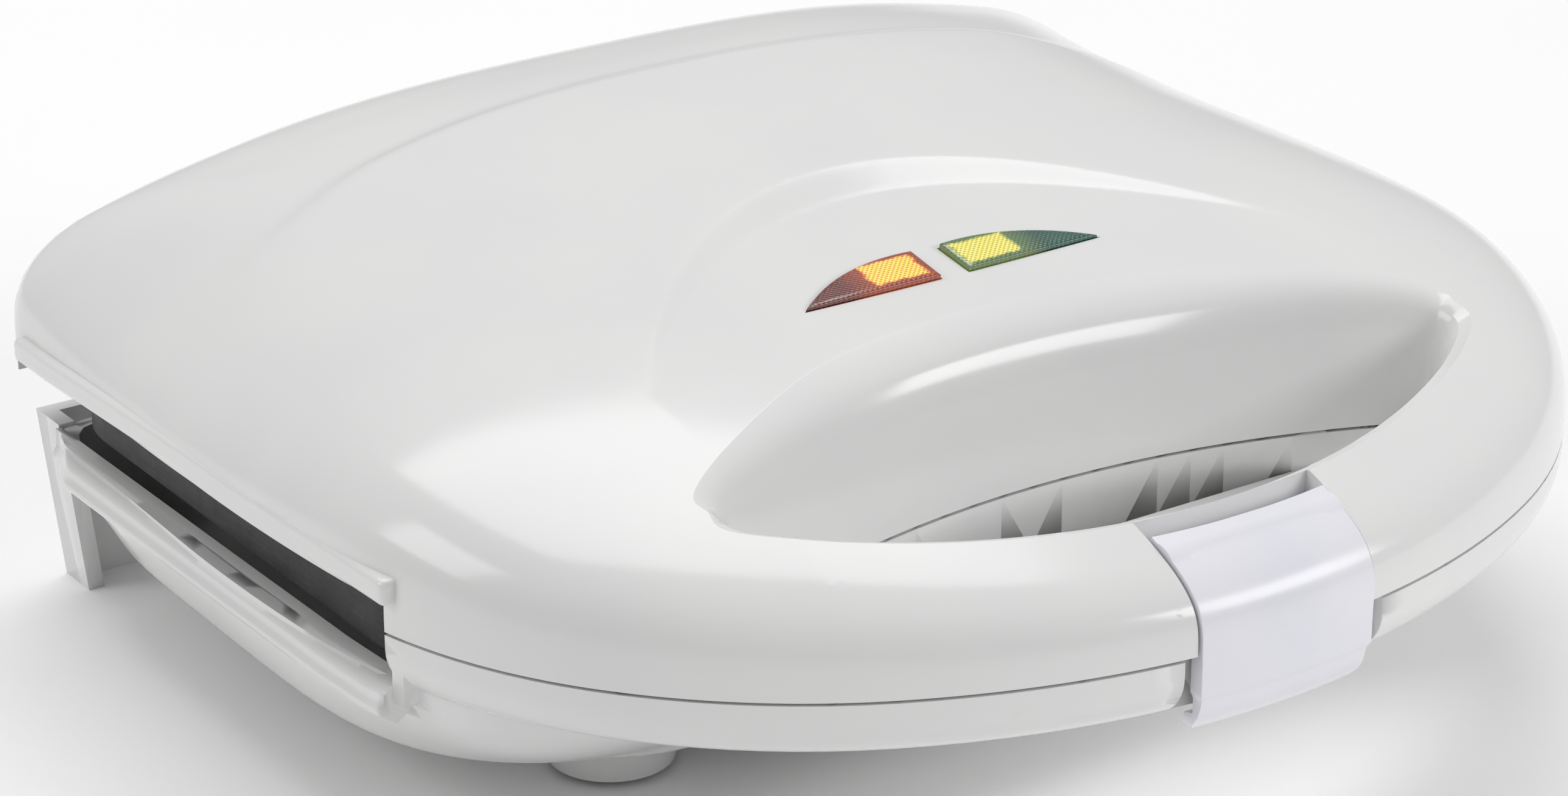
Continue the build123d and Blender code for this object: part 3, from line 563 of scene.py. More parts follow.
def lidSkin():
    # levels of points along the rays, from the foot of the opening's wall to the rim
    shape = lidShape
    centre = np.array(shape["centre"])
    fine = np.linspace(0, 2 * math.pi, 7201)
    heading = np.stack([np.cos(fine), np.sin(fine)], 1)
    inner = centre + heading * openingReach(fine)[:, None]
    outer = centre + heading * reachFrom(outline, centre, fine)[:, None]
    # the rays stand evenly along both the opening and the outline
    steps = [np.linalg.norm(np.diff(loop, axis=0), axis=1) for loop in (inner, outer)]
    shares = [0.5 * step / step.sum() for step in steps]
    progress = np.concatenate([[0], np.cumsum(shares[0] + shares[1])])
    angles = np.interp(np.arange(shape["rays"]) / shape["rays"], progress, fine)
    near = openingReach(angles)
    far = reachFrom(outline, centre, angles)
    tilt = np.interp(angles, fine, np.gradient(openingReach(fine), fine))
    squint = near / np.hypot(near, tilt)        # cosine between a ray and the opening's normal
    rearward = smoothStep(np.sin(angles), 0.05, 0.75)
    roll = shape["rollFront"] + (shape["rollRear"] - shape["rollFront"]) * rearward
    low, high = shape["rollPower"]
    power = low + (high - low) * rearward
    # each level: distance along the rays, and share of the dome's height
    levels = []
    for t in np.linspace(0, 1, 15):
        levels.append((near + roll * (1 - (1 - t**power) ** (1 / power)) / squint, t))
    start = near + roll / squint
    edge = np.minimum(shape["rimRun"], shape["rimShare"] * (far - start))
    for t in np.linspace(0, 1, 91)[1:]:
        levels.append((start + (far - edge - start) * t, 1.0))
    for t in np.linspace(1, 0, 27)[1:]:
        levels.append((far - edge * t**3.2, 1.0))
    rings = []
    for reach, lift in levels:
        x = centre[0] + np.cos(angles) * reach
        y = centre[1] + np.sin(angles) * reach
        z = coverPlan["parting"] + (domeHeight(x, y) - coverPlan["parting"]) * lift
        rings.append(np.stack([x, y, np.minimum(z, shape["top"])], 1))
    rings[-1][:, 2] = coverPlan["parting"]
    return np.array(rings)


def lidCover(skin):
    # the closed skin less a room inside it, which is open underneath
    cover = closedRing("LidCover", skin)
    normals = surfaceNormals(skin, np.roll(skin, -1, 1) - np.roll(skin, 1, 1), len(skin) // 2)
    room = (skin - normals * coverPlan["wall"])[::2, ::2]
    # the room's two feet run straight down through the open underside
    below = 6.0
    feet = [room[0].copy(), room[-1].copy()]
    for foot in feet:
        foot[:, 2] = coverPlan["parting"] - below
    carve(cover, closedRing("lidRoom", np.concatenate([feet[0][None], room, feet[1][None]])))
    return cover


# Ready lamps

lampShape = {
    "place": -17.3,                 # a point of the lamps' flat, with its height and slope
    "height": 74.9,
    "slope": 0.18,
    "tip": 29.1,                    # the lens runs out to a point at this distance from the middle
    "front": -21.7,
    "rear": -13.3,
    "middleGap": 2.9,
    "bow": (0.6, 0.2),              # its bowed side passes here, as shares of the tip and of the depth
    "gap": 0.28,                    # between the lens and the lid
    "depth": 3.9,
    "fanPlace": (9.5, -18.1),       # the lens's slightly domed face closes here
    "faceRings": ((0.994, 0.08), (0.982, 0.18), (0.96, 0.25), (0.9, 0.29), (0.75, 0.32), (0.5, 0.36),
                  (0.25, 0.39), (0.05, 0.4)),       # share of the outline and height of each ring
    "drop": 0.3,                    # the lens face lies this far under the flat that carries the holder
    "prismPitch": 0.95,             # pyramids moulded on the back of the lens
    "prismHeight": 0.5,
    "prismShare": 0.6,              # their radius as a share of the pitch
    "prismSink": 0.1,               # the pyramids start this far inside the lens
    "prismRoom": (12.0, -17.3, 14.4, 6.2),          # middle, width and depth of the holder's chamber
    "prismEdge": 0.7,               # they stop this far inside the lens's edge
}


def arcThrough(a, b, c, count):
    # points of the arc from a over b to c
    (ax, ay), (bx, by), (cx, cy) = a, b, c
    d = 2 * (ax * (by - cy) + bx * (cy - ay) + cx * (ay - by))
    x = ((ax**2 + ay**2) * (by - cy) + (bx**2 + by**2) * (cy - ay) + (cx**2 + cy**2) * (ay - by)) / d
    y = ((ax**2 + ay**2) * (cx - bx) + (bx**2 + by**2) * (ax - cx) + (cx**2 + cy**2) * (bx - ax)) / d
    radius = math.hypot(ax - x, ay - y)
    first, last = math.atan2(ay - y, ax - x), math.atan2(cy - y, cx - x)
    angles = np.linspace(first, last, count)
    return np.stack([x + radius * np.cos(angles), y + radius * np.sin(angles)], 1)


def lensLoop(grow):
    # outline of one lens from above, moved outwards by the growth; a pointed tip moves further than a side
    shape = lampShape
    tipGrowth, bowGrowth = 2.2, 1.15
    inner, front, rear = shape["middleGap"] - grow, shape["front"] - grow, shape["rear"] + grow
    tip = (shape["tip"] + tipGrowth * grow, front)
    across, back = shape["bow"]
    bow = (across * shape["tip"], shape["rear"] - back * (shape["rear"] - shape["front"]) + bowGrowth * grow)
    bowed = arcThrough(tip, bow, (inner, rear), 36)
    down = np.stack([np.full(10, inner), np.linspace(rear, front, 12)[1:-1]], 1)
    along = np.stack([np.linspace(inner, tip[0], 40)[:-1], np.full(39, front)], 1)
    return np.concatenate([bowed, down, along])


def onLamps(points):
    # from flat coordinates, with Z as the height over the lamps' flat, to the lid
    shape = lampShape
    tilt = math.atan(shape["slope"])
    points = np.asarray(points, float)
    y = points[:, 1] - shape["place"]
    z = points[:, 2] - shape["drop"]
    return np.stack([points[:, 0], shape["place"] + y * math.cos(tilt) - z * math.sin(tilt),
                     shape["height"] + y * math.sin(tilt) + z * math.cos(tilt)], 1)


def lampSolid(name, loops, side):
    # solid through flat loops, each with its height over the lamps' flat
    rings = [np.column_stack([loop[:, 0] * side, loop[:, 1], np.full(len(loop), height)])
             for loop, height in loops]
    return stackedRings(name, [onLamps(ring) for ring in rings])


def lensWindow(side):
    # what the lid gives way to, with its gap round the lens
    loop = lensLoop(lampShape["gap"])
    return lampSolid("lensWindow", [(loop, -6.0), (loop, 6.0)], side)


def prismRows():
    # geometry nodes that stand small pyramids in rows on a rectangle
    tree = bpy.data.node_groups.new("PrismRows", "GeometryNodeTree")
    for name, low in (("Width", 0.0), ("Depth", 0.0), ("Pitch", 0.0001), ("Height", 0.0)):
        socket = tree.interface.new_socket(name, in_out="INPUT", socket_type="NodeSocketFloat")
        socket.min_value = low
    tree.interface.new_socket("Material", in_out="INPUT", socket_type="NodeSocketMaterial")
    tree.interface.new_socket("Geometry", in_out="OUTPUT", socket_type="NodeSocketGeometry")
    given = addNode(tree, "NodeGroupInput").outputs
    counts = []
    for name in ("Width", "Depth"):
        share = maths(tree, "DIVIDE", given[name], given["Pitch"])
        whole = addNode(tree, "FunctionNodeFloatToInt", {"rounding_mode": "CEILING"}, {"Float": share})
        counts.append(whole.outputs["Integer"])
    rows = addNode(tree, "GeometryNodeMeshGrid", None,
                   {"Size X": given["Width"], "Size Y": given["Depth"],
                    "Vertices X": counts[0], "Vertices Y": counts[1]})
    radius = maths(tree, "MULTIPLY", given["Pitch"], factor=lampShape["prismShare"])
    pyramid = addNode(tree, "GeometryNodeMeshCone", {"Vertices": 4},
                      {"Radius Bottom": radius, "Depth": given["Height"]})
    placed = addNode(tree, "GeometryNodeInstanceOnPoints", {"Rotation": (math.pi, 0, math.pi / 4)},
                     {"Points": rows.outputs["Mesh"], "Instance": pyramid.outputs["Mesh"]})
    real = addNode(tree, "GeometryNodeRealizeInstances", None, {"Geometry": placed.outputs["Instances"]})
    dressed = addNode(tree, "GeometryNodeSetMaterial", None,
                      {"Geometry": real.outputs["Geometry"], "Material": given["Material"]})
    addNode(tree, "NodeGroupOutput", None, {"Geometry": dressed.outputs["Geometry"]})
    return tree


def lensPrisms(side, material):
    # the rows of prisms on the back of one lens, cut to its outline
    shape = lampShape
    x, y, width, depth = shape["prismRoom"]
    rows = meshObject("prismRows", [(0, 0, 0)], [])
    step = rows.modifiers.new("rows", "NODES")
    step.node_group = prismNodes
    wanted = {"Width": width * mm, "Depth": depth * mm, "Pitch": shape["prismPitch"] * mm,
              "Height": shape["prismHeight"] * mm, "Material": material}
    for item in prismNodes.interface.items_tree:
        if item.in_out == "INPUT":
            step[item.identifier] = wanted[item.name]
    applyModifiers(rows)
    mesh = rows.data
    points = np.empty(len(mesh.vertices) * 3)
    mesh.vertices.foreach_get("co", points)
    points = points.reshape(-1, 3) / mm
    points += (x, y, shape["prismSink"] - shape["depth"])
    points[:, 0] *= side
    mesh.vertices.foreach_set("co", (onLamps(points) * mm).ravel())
    mesh.update()
    outwardNormals(rows)
    loop = lensLoop(-shape["prismEdge"])
    carve(rows, lampSolid("prismReach", [(loop, -shape["depth"] - 2.0), (loop, 0.0)], side), "INTERSECT")
    return rows


def lensPiece(name, side):
    # one lens with its rounded edge and slightly domed face
    shape = lampShape
    loop, middle = lensLoop(0.0), np.array(shape["fanPlace"])
    loops = [(loop, -shape["depth"]), (loop, -0.05)]
    loops += [(middle + (loop - middle) * share, height) for share, height in shape["faceRings"]]
    return lampSolid(name, loops, side)


# Lid details

lidParts = {
    "cutInner": 105.4,              # the skirt stops short of the base along the sides
    "cutFront": -30.3,
    "cutRear": 94.2,
    "edgePlaces": (25.0, 80.0),     # underside of the ledge: level in front, falling to the back
    "edgeHeights": (48.7, 46.8),
    "ledgeHeight": 4.3,
    "ledgeDepth": 7.4,
    "ledgeReachPlaces": (-32.0, 15.0),
    "ledgeReaches": (113.4, 115.3),
    "ledgeFront": -32.6,
    "ledgeRear": 91.5,
    "ledgeRounding": 1.1,
    "hingeY": 106.0,
    "hingeMiddle": 70.0,            # of each knuckle, from the middle of the lid
    "knuckleLength": 10.0,
    "knuckleRadius": 4.2,
    "bore": 2.05,
    "ribPlaces": (32.0, 64.0, 90.0),
    "ribThickness": 2.0,
    "ribRear": -60.0,
    "ribBase": 2.0,                 # the ribs stop this far over the parting plane
    "ribInset": 19.0,               # and this far inside the outline
    "bayHalf": 17.2,                # room for the latch
    "bayShelf": 48.3,
    "baySetback": 3.6,
    "bayWall": 2.4,
    "bayWallRear": -85.0,
    "bayShelfRear": -87.3,
    "pivotY": -95.0,
    "pivotZ": 53.5,
    "baySweep": 5.1,                # the latch's knuckle turns in this
    "troughRear": -89.0,
    "pinSeat": 21.5,                # half length of the pin's hole
    "pinHole": 1.51,
    "clear": 0.01,                  # keeps cut faces off the parting plane
    "front": -200.0,                # in front of the whole lid
    "above": 120.0,                 # over it
    "beside": 140.0,                # beside it
}


def sideEdge(y):
    # height of the ledge's underside
    return np.interp(y, lidParts["edgePlaces"], lidParts["edgeHeights"])


def sideCut():
    # what the skirt gives way to along one side
    part = lidParts
    below = 30.0
    ys = np.linspace(part["cutRear"], part["cutFront"], 40)
    profile = [(part["cutFront"], below), (part["cutRear"], below)] + list(zip(ys, sideEdge(ys)))
    return slabAlongX("sideCut", part["cutInner"], part["beside"], profile)


def sideLedge():
    # straight ledge with rounded edges along the lid's side, which ends in a rounded tip
    part = lidParts
    rounding = part["ledgeRounding"]
    near = rounding * np.array([0.0, 0.12, 0.3, 0.55, 1.0])
    between = np.linspace(part["ledgeFront"] + 3, part["ledgeRear"] - 3, 54)
    ys = np.concatenate([part["ledgeFront"] + near, between, part["ledgeRear"] - near[::-1]])
    rings = []
    for y in ys:
        low = float(sideEdge(y))
        end = min(y - part["ledgeFront"], part["ledgeRear"] - y)
        draw = rounding * (1 - math.sqrt(max(0.0, 1 - (1 - min(end / rounding, 1.0)) ** 2)))
        reach = float(np.interp(y, part["ledgeReachPlaces"], part["ledgeReaches"]))
        x0, x1 = reach - part["ledgeDepth"], reach - draw
        z0, z1 = low + 0.6 * draw, low + part["ledgeHeight"] - 0.6 * draw
        ring = [(x0, y, z0), (x1 - rounding, y, z0)]
        ring += [(x1 - rounding + rounding * math.sin(a), y, z0 + rounding - rounding * math.cos(a))
                 for a in np.radians((22, 45, 68, 90))]
        ring += [(x1 - rounding + rounding * math.cos(a), y, z1 - rounding + rounding * math.sin(a))
                 for a in np.radians((0, 22, 45, 68))]
        ring += [(x1 - rounding, y, z1), (x0, y, z1)]
        rings.append(ring)
    return stackedRings("sideLedge", rings)


def knuckleProfile():
    # barrel round the pin with an arm up into the lid's rear wall
    part = lidParts
    y, z, r = part["hingeY"], coverPlan["parting"], part["knuckleRadius"]
    angles = np.radians(np.linspace(-180, 28, 32))
    barrel = [(y + r * math.cos(a), z + r * math.sin(a)) for a in angles]
    return barrel + [(y + 0.84, z + 2.6), (y + 0.84, z + 10.4), (y - 3.76, z + 15.0), (y - 5.6, z + 15.0),
                     (y - 5.6, z + 2.6), (y - 3.3, z + 2.6)]


def bothSides(cover, piece, operation="DIFFERENCE"):
    # the piece and its mirrored copy are cut from the cover or joined to it
    carve(cover, mirrored(piece), operation)
    carve(cover, piece, operation)


def latchBay(cover, form):
    # room for the latch in the middle of the handle
    part = lidParts
    front, above, parting = part["front"], part["above"], coverPlan["parting"]
    half, y, z = part["bayHalf"], part["pivotY"], part["pivotZ"]
    carve(cover, boxBetween("bay", (-half, front, part["bayShelf"]), (half, y, above)))
    room = boxBetween("bayFront", (-half, front, 0), (half, y, above))
    carve(room, prismAlongZ("bayBack", insetLoop(outline, part["baySetback"]), -1, above + 1))
    carve(cover, room)
    carve(cover, rodAlongX("bayBarrel", -half, half, y, z, part["baySweep"]))
    carve(cover, boxBetween("bayTrough", (-half, y - 0.5, z), (half, part["troughRear"], above)))
    # walls that close the handle's two ends
    wall = boxBetween("bayWall", (half, front, parting + part["clear"]),
                      (half + part["bayWall"], part["bayWallRear"], above))
    for piece in (wall, mirrored(wall)):
        carve(piece, copyOf(form), "INTERSECT")
        carve(cover, piece, "UNION")
    # shelf under the latch with its front wall
    shelf = prismAlongZ("bayShelf", insetLoop(outline, part["baySetback"]), parting + part["clear"],
                        part["bayShelf"])
    end = boxBetween("bayShelfEnd", (-half - 1, front, 0), (half + 1, part["bayShelfRear"], above))
    carve(shelf, end, "INTERSECT")
    inner = insetLoop(outline, part["baySetback"] + coverPlan["wall"])
    carve(shelf, prismAlongZ("bayShelfRoom", inner, 0, part["bayShelf"] - coverPlan["wall"]))
    carve(cover, shelf, "UNION")
    carve(cover, rodAlongX("pinHole", -part["pinSeat"], part["pinSeat"], y, z, part["pinHole"]))


def frontRibs(cover, form):
    # ribs inside the handle and the front of the lid
    part = lidParts
    low = coverPlan["parting"] + part["ribBase"]
    for place in part["ribPlaces"]:
        rib = boxBetween("rib", (place, part["front"], low),
                         (place + part["ribThickness"], part["ribRear"], part["above"]))
        # each side is trimmed on its own, so that its outer face lies exactly in the skin
        for piece in (mirrored(rib), rib):
            carve(piece, copyOf(form), "INTERSECT")
            carve(piece, prismAlongZ("ribReach", insetLoop(outline, part["ribInset"]), 0, part["above"]))
            carve(cover, piece, "UNION")


def finishLid():
    part = lidParts
    skin = lidSkin()
    form = closedRing("lidForm", skin)
    cover = lidCover(skin)
    frontRibs(cover, form)
    latchBay(cover, form)
    bothSides(cover, sideCut())
    bothSides(cover, sideLedge(), "UNION")
    for side in (-1, 1):
        x = side * part["hingeMiddle"]
        half = part["knuckleLength"] / 2
        carve(cover, slabAlongX("knuckle", x - half, x + half, knuckleProfile()), "UNION")
        x0, x1 = x - half - 1, x + half + 1
        carve(cover, rodAlongX("bore", x0, x1, part["hingeY"], coverPlan["parting"], part["bore"]))
        carve(cover, lensWindow(side))
    bpy.data.objects.remove(form)
    return cover


prismNodes = prismRows()
lid = finishLid()
print("lid made", len(lid.data.polygons))
smoothShade(lid)
dress(lid, "whiteAbs", "lid", ["lid_cover"])

for lensName, node, side, finish, slotName in (
        ("RedLens", "red_lens", -1, "redLens", "red_lens_plastic"),
        ("GreenLens", "green_lens", 1, "greenLens", "green_lens_plastic")):
    lensThing = lensPiece(lensName, side)
    carve(lensThing, lensPrisms(side, finishes[finish]), "UNION")
    smoothShade(lensThing, 50)
    dress(lensThing, finish, "lid", [node])
print("lenses made")


# Base: the solid's cover with a fuller bowl and rounded side rims

baseShape = {
    "middle": (0.0, 34.0),          # the bowl is drawn round this place
    "floorHalf": 103.2,
    "floorFront": -35.25,
    "floorRear": 86.65,
    "floorFrontPower": 3.9,         # higher is a tighter corner
    "floorRearPower": 8.0,
    "topInset": 3.4,                # top of the bowl inside the covers' outline
    "topFront": -53.25,
    "topRear": 96.65,
    "floor": 10.55,
    "top": 33.3,
    "frontTop": 37.0,               # its front runs on into the handle
    "edge": 5.0,                    # rounding of the bowl's lower edge
    "openFrom": 58.0,               # beside this the bowl is empty
    "rimFront": -30.3,
    "rimRear": 92.6,
    "rimPlaces": (-30.3, -25.0, -10.0, 34.0, 92.6),
    "rimTops": (35.0, 34.0, 33.2, 32.6, 32.0),      # the rim rises to its front end
    "rimInner": 107.0,
    "rimOuter": 113.3,
    "rimDraw": 4.4,                 # the rim runs into the leg at its rear end
    "rimDrawn": 78.0,               # from here on
    "bushPlace": (-52.0, 21.5),
    "bushHole": 5.1,
    "above": 60.0,                  # over the whole base
    "beside": 140.0,                # beside the whole base
    # cleared outside a distance from the middle: distance, front and height, rear
    "cleared": ((98.0, (-30.3, 20.0), 92.2), (108.2, (80.0, 20.0), 97.0), (92.0, (80.0, 32.6), 105.0)),
    "endInner": 96.0,               # walls at the front ends of the rims
    "endThickness": 2.4,
    "endLow": 31.5,
    "endHigh": 43.15,
}


def floorReach(angles, inset):
    # from the bowl's middle to the edge of its floor
    shape = baseShape
    cosines, sines = np.abs(np.cos(angles)), np.sin(angles)
    middle = shape["middle"][1]
    depth = np.where(sines < 0, middle - shape["floorFront"], shape["floorRear"] - middle) - inset
    power = np.where(sines < 0, shape["floorFrontPower"], shape["floorRearPower"])
    return ((cosines / (shape["floorHalf"] - inset))**power + (np.abs(sines) / depth)**power) ** (-1 / power)


def topReach(angles, inset):
    # from the bowl's middle to its top: inside the covers' outline, with straight ends
    shape = baseShape
    middle = np.array(shape["middle"])
    sides = reachFrom(insetLoop(outline, shape["topInset"] + inset), middle, angles)
    sines = np.sin(angles)
    depth = np.where(sines < 0, middle[1] - shape["topFront"], shape["topRear"] - middle[1]) - inset
    ends = depth / np.maximum(np.abs(sines), 1e-6)
    return (sides**-14.0 + ends**-14.0) ** (-1 / 14.0)


def bowlRings(inset, top):
    # rings from the floor up the wall
    shape = baseShape
    angles = np.linspace(0, 2 * math.pi, 240, endpoint=False)
    near, far = floorReach(angles, inset), topReach(angles, inset)
    low = shape["floor"] + inset
    edge = shape["edge"] - inset / 2
    steps = []
    for t in np.radians(np.linspace(0, 90, 9)):
        steps.append((near - edge * (1 - math.sin(t)), low + edge * (1 - math.cos(t))))
    for z in np.linspace(low + edge, top, 10)[1:]:
        steps.append((near, z))
    result = []
    for reach, z in steps:
        share = math.sin(math.pi / 2 * min((z - low) / (shape["top"] - low), 1.0))
        reach = reach + (far - near) * share
        result.append([(shape["middle"][0] + math.cos(a) * r, shape["middle"][1] + math.sin(a) * r, z)
                       for a, r in zip(angles, reach)])
    return result


def rimTop(y):
    # height of the side rim
    return np.interp(y, baseShape["rimPlaces"], baseShape["rimTops"])


def sideRim():
    # rounded bead with a soft ridge below it, on top of the bowl's side wall
    shape = baseShape
    inner = shape["rimInner"]
    crown = 2.4                     # height of the bead's rounding
    rings = []
    for y in np.linspace(shape["rimFront"], shape["rimRear"], 60):
        top = float(rimTop(y))
        drawn = float(smoothStep(y, shape["rimDrawn"], shape["rimRear"]))
        outer = shape["rimOuter"] - shape["rimDraw"] * drawn
        shoulder = outer - 0.9
        ring = [(inner, top - 3.0), (inner, top), (inner + 1.0, top)]
        ring += [(inner + 1.0 + (shoulder - inner - 1.0) * math.sin(a), top - crown + crown * math.cos(a))
                 for a in np.radians((15, 30, 45, 60, 75, 90))]
        ring += [(outer - 0.8, top - 3.2), (outer - 0.2, top - 3.9), (outer, top - 4.5),
                 (outer - 0.4, top - 5.3), (outer - 3.0, top - 7.2), (inner + 0.6, top - 5.0)]
        rings.append([(x, y, z) for x, z in ring])
    return stackedRings("sideRim", rings)


def sideBox(name, side, inner, low, high):
    # box outside a distance from the middle, between two corners of Y and Z
    x0, x1 = sorted((side * inner, side * baseShape["beside"]))
    return boxBetween(name, (x0, *low), (x1, *high))


def baseBowl():
    # the fuller bowl as a shell, with the bush's hole
    shape = baseShape
    above, beside = shape["above"], shape["beside"]
    bowl = stackedRings("bowl", bowlRings(0.0, shape["frontTop"]))
    carve(bowl, bowlHollow())
    x, z = shape["bushPlace"]
    hole = rodAlongX("bushHole", 70, 110, 0, z, shape["bushHole"])
    hole.data.transform(Matrix.Rotation(math.radians(90), 4, "Z"))
    hole.data.transform(Matrix.Translation((x * mm, 0, 0)))
    carve(bowl, hole)
    # its side walls end just under the top of the rims
    ys = np.linspace(shape["rimFront"], shape["rimRear"], 30)
    over = [(y, float(rimTop(y)) - 0.1) for y in ys]
    over += [(120.0, shape["rimTops"][-1]), (120.0, above), (shape["rimFront"], above)]
    carve(bowl, slabAlongX("overRim", -beside, beside, over))
    return bowl


def bowlHollow():
    # what makes the bowl a shell
    top = 44.0                      # over the parting plane
    return stackedRings("bowlHollow", bowlRings(coverPlan["wall"], top))


def baseCover():
    shape = baseShape
    cover = mergedCopy("base_cover", "BaseCover")
    # the solid's side walls give way to the fuller bowl and the rounded rims
    for side in (-1, 1):
        room = bowlHollow()
        half = sideBox("roomSide", side, shape["openFrom"], (-100, 0), (120, shape["above"]))
        carve(room, half, "INTERSECT")
        carve(cover, room)
        for inner, low, rear in shape["cleared"]:
            carve(cover, sideBox("cleared", side, inner, low, (rear, shape["above"])))
    carve(cover, baseBowl(), "UNION")
    bothSides(cover, sideRim(), "UNION")
    # walls that close the front halves beside the rims
    front = shape["rimFront"]
    for side in (-1, 1):
        end = sideBox("rimEnd", side, shape["endInner"], (front - shape["endThickness"], shape["endLow"]),
                      (front, shape["endHigh"]))
        carve(end, prismAlongZ("endReach", insetLoop(outline, 1.0), 20, shape["above"]), "INTERSECT")
        carve(cover, end, "UNION")
    return cover


base = baseCover()
smoothShade(base)
print("base made", len(base.data.polygons))
dress(base, "whiteAbs", "base", ["base_cover"])


# Latch: a shell that follows the handle and reaches back under it with its lip, and its knuckle

latchShape = {
    "half": 16.7,
    "lipHalf": 16.2,
    "lipCorner": 2.6,               # rounding of the lip's two lower corners
    "shoulder": (37.0, 1.0),        # the lip starts below this and takes this height to narrow
    "proud": 0.5,
    "thickness": 2.6,
    "rounding": 0.55,               # of its edges
    "reach": 12.4,                  # from the front of the handle back to the pivot
    # heights down the front and how far the outside goes back at each
    "front": ((42.4, 0.0), (40.6, 0.0), (39.2, 0.0), (38.0, 0.0), (37.0, 0.0), (36.4, 0.35), (35.8, 0.6),
              (35.0, 0.75), (34.2, 0.95), (33.3, 1.25), (32.8, 1.5), (32.2, 1.9), (31.4, 2.5), (30.6, 3.3),
              (30.0, 4.0), (29.6, 4.6)),
    "nibTop": 32.9,                 # below this the lip reaches back under the handle
    "nibStep": 2.0,                 # depth of the step that grips there
    "knuckle": 4.4,
    "pinHole": 1.56,
    "columns": 45,
}


def latchGrid(inset):
    # rows from the pivot over the handle's front down to the lip; inset moves the surface inwards
    shape = latchShape
    across = np.linspace(-1, 1, shape["columns"])
    across = np.sign(across) * (1 - (1 - np.abs(across)) ** 1.4)
    x = across * shape["half"]
    depths = shape["reach"] * np.linspace(1, 0, 25) ** 3.2
    right = outline[:int(np.argmax(outline[:, 0]))]
    front = np.interp(np.abs(x), right[:, 0], right[:, 1])
    rows = []
    for depth in depths:
        y = front + depth
        rows.append(np.stack([x, y, domeHeight(x, y)], 1))
    rows[-1][:, 2] = coverPlan["parting"]
    rows = np.array(rows)
    rows = rows + surfaceNormals(rows, np.gradient(rows, axis=1), 0) * (shape["proud"] - inset)
    low = []
    shoulder, fall = shape["shoulder"]
    for z, back in shape["front"]:
        drawn = smoothStep(-z, -shoulder, fall - shoulder)
        narrow = shape["half"] + (shape["lipHalf"] - shape["half"]) * drawn
        corner = max(0.0, 1 - (z - shape["front"][-1][0]) / shape["lipCorner"])
        narrow -= shape["lipCorner"] * (1 - math.sqrt(1 - corner**2))
        xs = across * narrow
        if inset:
            back = 0.0 if z > shape["nibTop"] else max(back, shape["nibStep"])
        ys = np.interp(np.abs(xs), right[:, 0], right[:, 1]) - shape["proud"] + back + inset
        low.append(np.stack([xs, ys, np.full_like(xs, z)], 1))
    return np.concatenate([rows, np.array(low)])


def sheetSolid(name, outer, inner):
    # solid between two grids of points
    rows, columns = outer.shape[:2]
    points = np.concatenate([outer.reshape(-1, 3), inner.reshape(-1, 3)])
    index = np.arange(rows * columns).reshape(rows, columns)
    faces = []
    for layer in (index, index + rows * columns):
        quads = np.stack([layer[:-1, :-1], layer[:-1, 1:], layer[1:, 1:], layer[1:, :-1]], 2)
        faces += quads.reshape(-1, 4).tolist()
    edge = np.concatenate([index[0, :-1], index[:-1, -1], index[-1, :0:-1], index[:0:-1, 0]])
    for i in range(len(edge)):
        a, b = edge[i], edge[(i + 1) % len(edge)]
        faces.append((a, b, b + rows * columns, a + rows * columns))
    return outwardNormals(meshObject(name, points, faces))


def latchClip():
    shape = latchShape
    clip = sheetSolid("LatchClip", latchGrid(0.0), latchGrid(shape["thickness"]))
    soften = clip.modifiers.new("soften", "BEVEL")
    soften.width = shape["rounding"] * mm
    soften.segments = 3
    soften.limit_method = "ANGLE"
    soften.angle_limit = math.radians(50)
    applyModifiers(clip)
    y, z = lidParts["pivotY"], lidParts["pivotZ"]
    carve(clip, rodAlongX("latchKnuckle", -shape["half"], shape["half"], y, z, shape["knuckle"]), "UNION")
    carve(clip, rodAlongX("latchHole", -30, 30, y, z, shape["pinHole"]))
    return clip


latch = latchClip()
smoothShade(latch, 40)
dress(latch, "latchNylon", "latch", ["latch_clip"])
print("latch made")

carriedNodes = {
    "rubber": ("foot_pads",),
    "nonStick": ("lower_plate", "upper_plate"),
    "zincSteel": ("lower_plate_screws", "upper_plate_screws", "lamp_holder_screws"),
    "drawnSteel": ("hinge_pins", "latch_pin"),
    "heaterSheath": ("lower_heater", "upper_heater"),
    "ceramic": ("lower_heater_terminals", "upper_heater_terminals"),
    "brightSheet": ("lower_reflector", "upper_reflector"),
    "platedCase": ("thermostat",),
    "sleeve": ("thermal_fuse",),
    "blockPlastic": ("terminal_block",),
    "bushPlastic": ("cord_inlet_bush",),
    "holderPlastic": ("lamp_holder",),
    "neonGlass": ("red_neon_lamp", "green_neon_lamp"),
}
for finish, nodes in carriedNodes.items():
    for node in nodes:
        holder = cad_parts[node]
        if not holder.material_slots:
            holder.data.materials.append(None)
        for place in holder.material_slots:
            place.material = finishes[finish]
print("carried nodes dressed")


# Studio

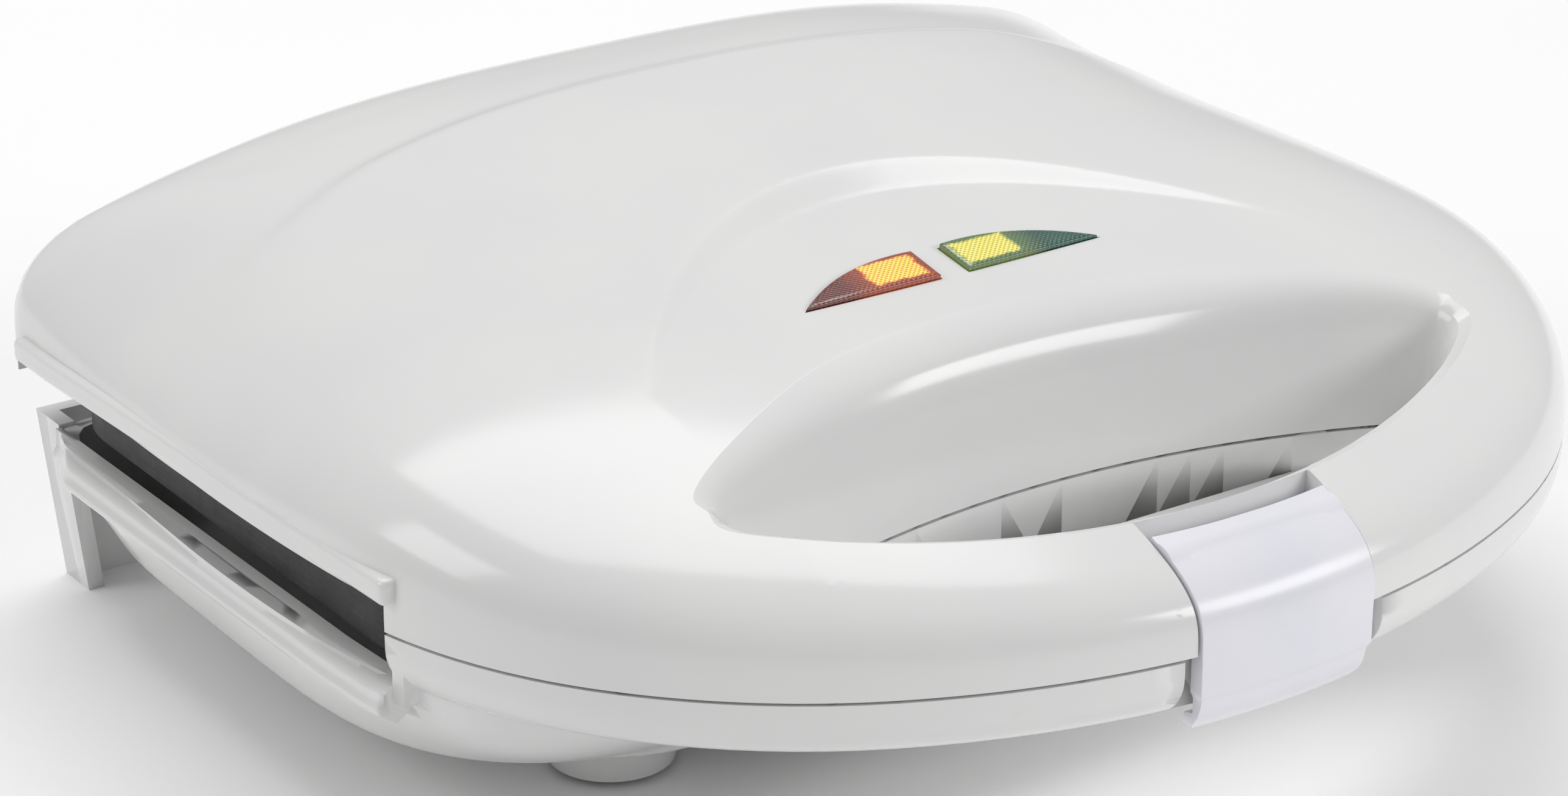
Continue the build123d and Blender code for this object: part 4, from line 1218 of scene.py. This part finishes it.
studio = {
    "lens": 97.97,
    "place": (-0.38568, -0.53693, 0.32479),
    "yaw": 34.34,
    "pitch": 23.01,
    "roll": -0.08,
    "floorColour": "#FFFFFF",
    "floorReach": 4000.0,
    "skyStrength": 0.36,
    "aim": (0, 0, 0.05),
    # each soft box with its place, size and power
    "boxes": (("LeftBox", (-1.3, 0.5, 0.9), (0.7, 0.7), 4.5),
              ("FrontRightBox", (0.78, -1.05, 0.68), (0.75, 0.42), 6.5),
              ("TopBox", (0.12, 0.5, 1.35), (1.3, 1.0), 11.0)),
}


def makeCamera():
    # the photograph's view, with the fitted place and angles
    yaw, pitch = math.radians(studio["yaw"]), math.radians(studio["pitch"])
    ahead = Vector((math.sin(yaw) * math.cos(pitch), math.cos(yaw) * math.cos(pitch), -math.sin(pitch)))
    right = Vector((math.cos(yaw), -math.sin(yaw), 0))
    up = right.cross(ahead)
    turned = Matrix((right, up, -ahead)).transposed() @ Matrix.Rotation(math.radians(studio["roll"]), 3, "Z")
    data = bpy.data.cameras.new("PhotoCamera")
    data.lens = studio["lens"]
    data.sensor_width = 36.0
    data.clip_end = 100.0
    camera = newObject("PhotoCamera", data)
    camera.matrix_world = Matrix.Translation(studio["place"]) @ turned.to_4x4()
    bpy.context.scene.camera = camera


def softBox(name, place, size, power):
    # area light that looks at the object
    data = bpy.data.lights.new(name, "AREA")
    data.shape = "RECTANGLE"
    data.size, data.size_y = size
    data.energy = power
    light = newObject(name, data)
    light.location = place
    light.rotation_euler = (Vector(studio["aim"]) - Vector(place)).to_track_quat("-Z", "Y").to_euler()


def makeFloor():
    material, tree, shader, place = newMaterial("PaleStudioPaper", studio["floorColour"], 0.9)
    varied(tree, shader, place, ("#FDFDFD", "#FFFFFF"), 300.0)
    far = studio["floorReach"]
    floor = meshObject("StudioFloor", [(-far, -far, 0), (far, -far, 0), (far, far, 0), (-far, far, 0)],
                       [(0, 1, 2, 3)])
    floor.data.materials.append(material)


makeCamera()
makeFloor()
for box in studio["boxes"]:
    softBox(*box)
world = bpy.data.worlds.new("StudioWorld")
world.use_nodes = True
world.node_tree.nodes["Background"].inputs["Color"].default_value = (1, 1, 1, 1)
world.node_tree.nodes["Background"].inputs["Strength"].default_value = studio["skyStrength"]
bpy.context.scene.world = world
bpy.context.scene.view_settings.view_transform = "Standard"
print("studio made")
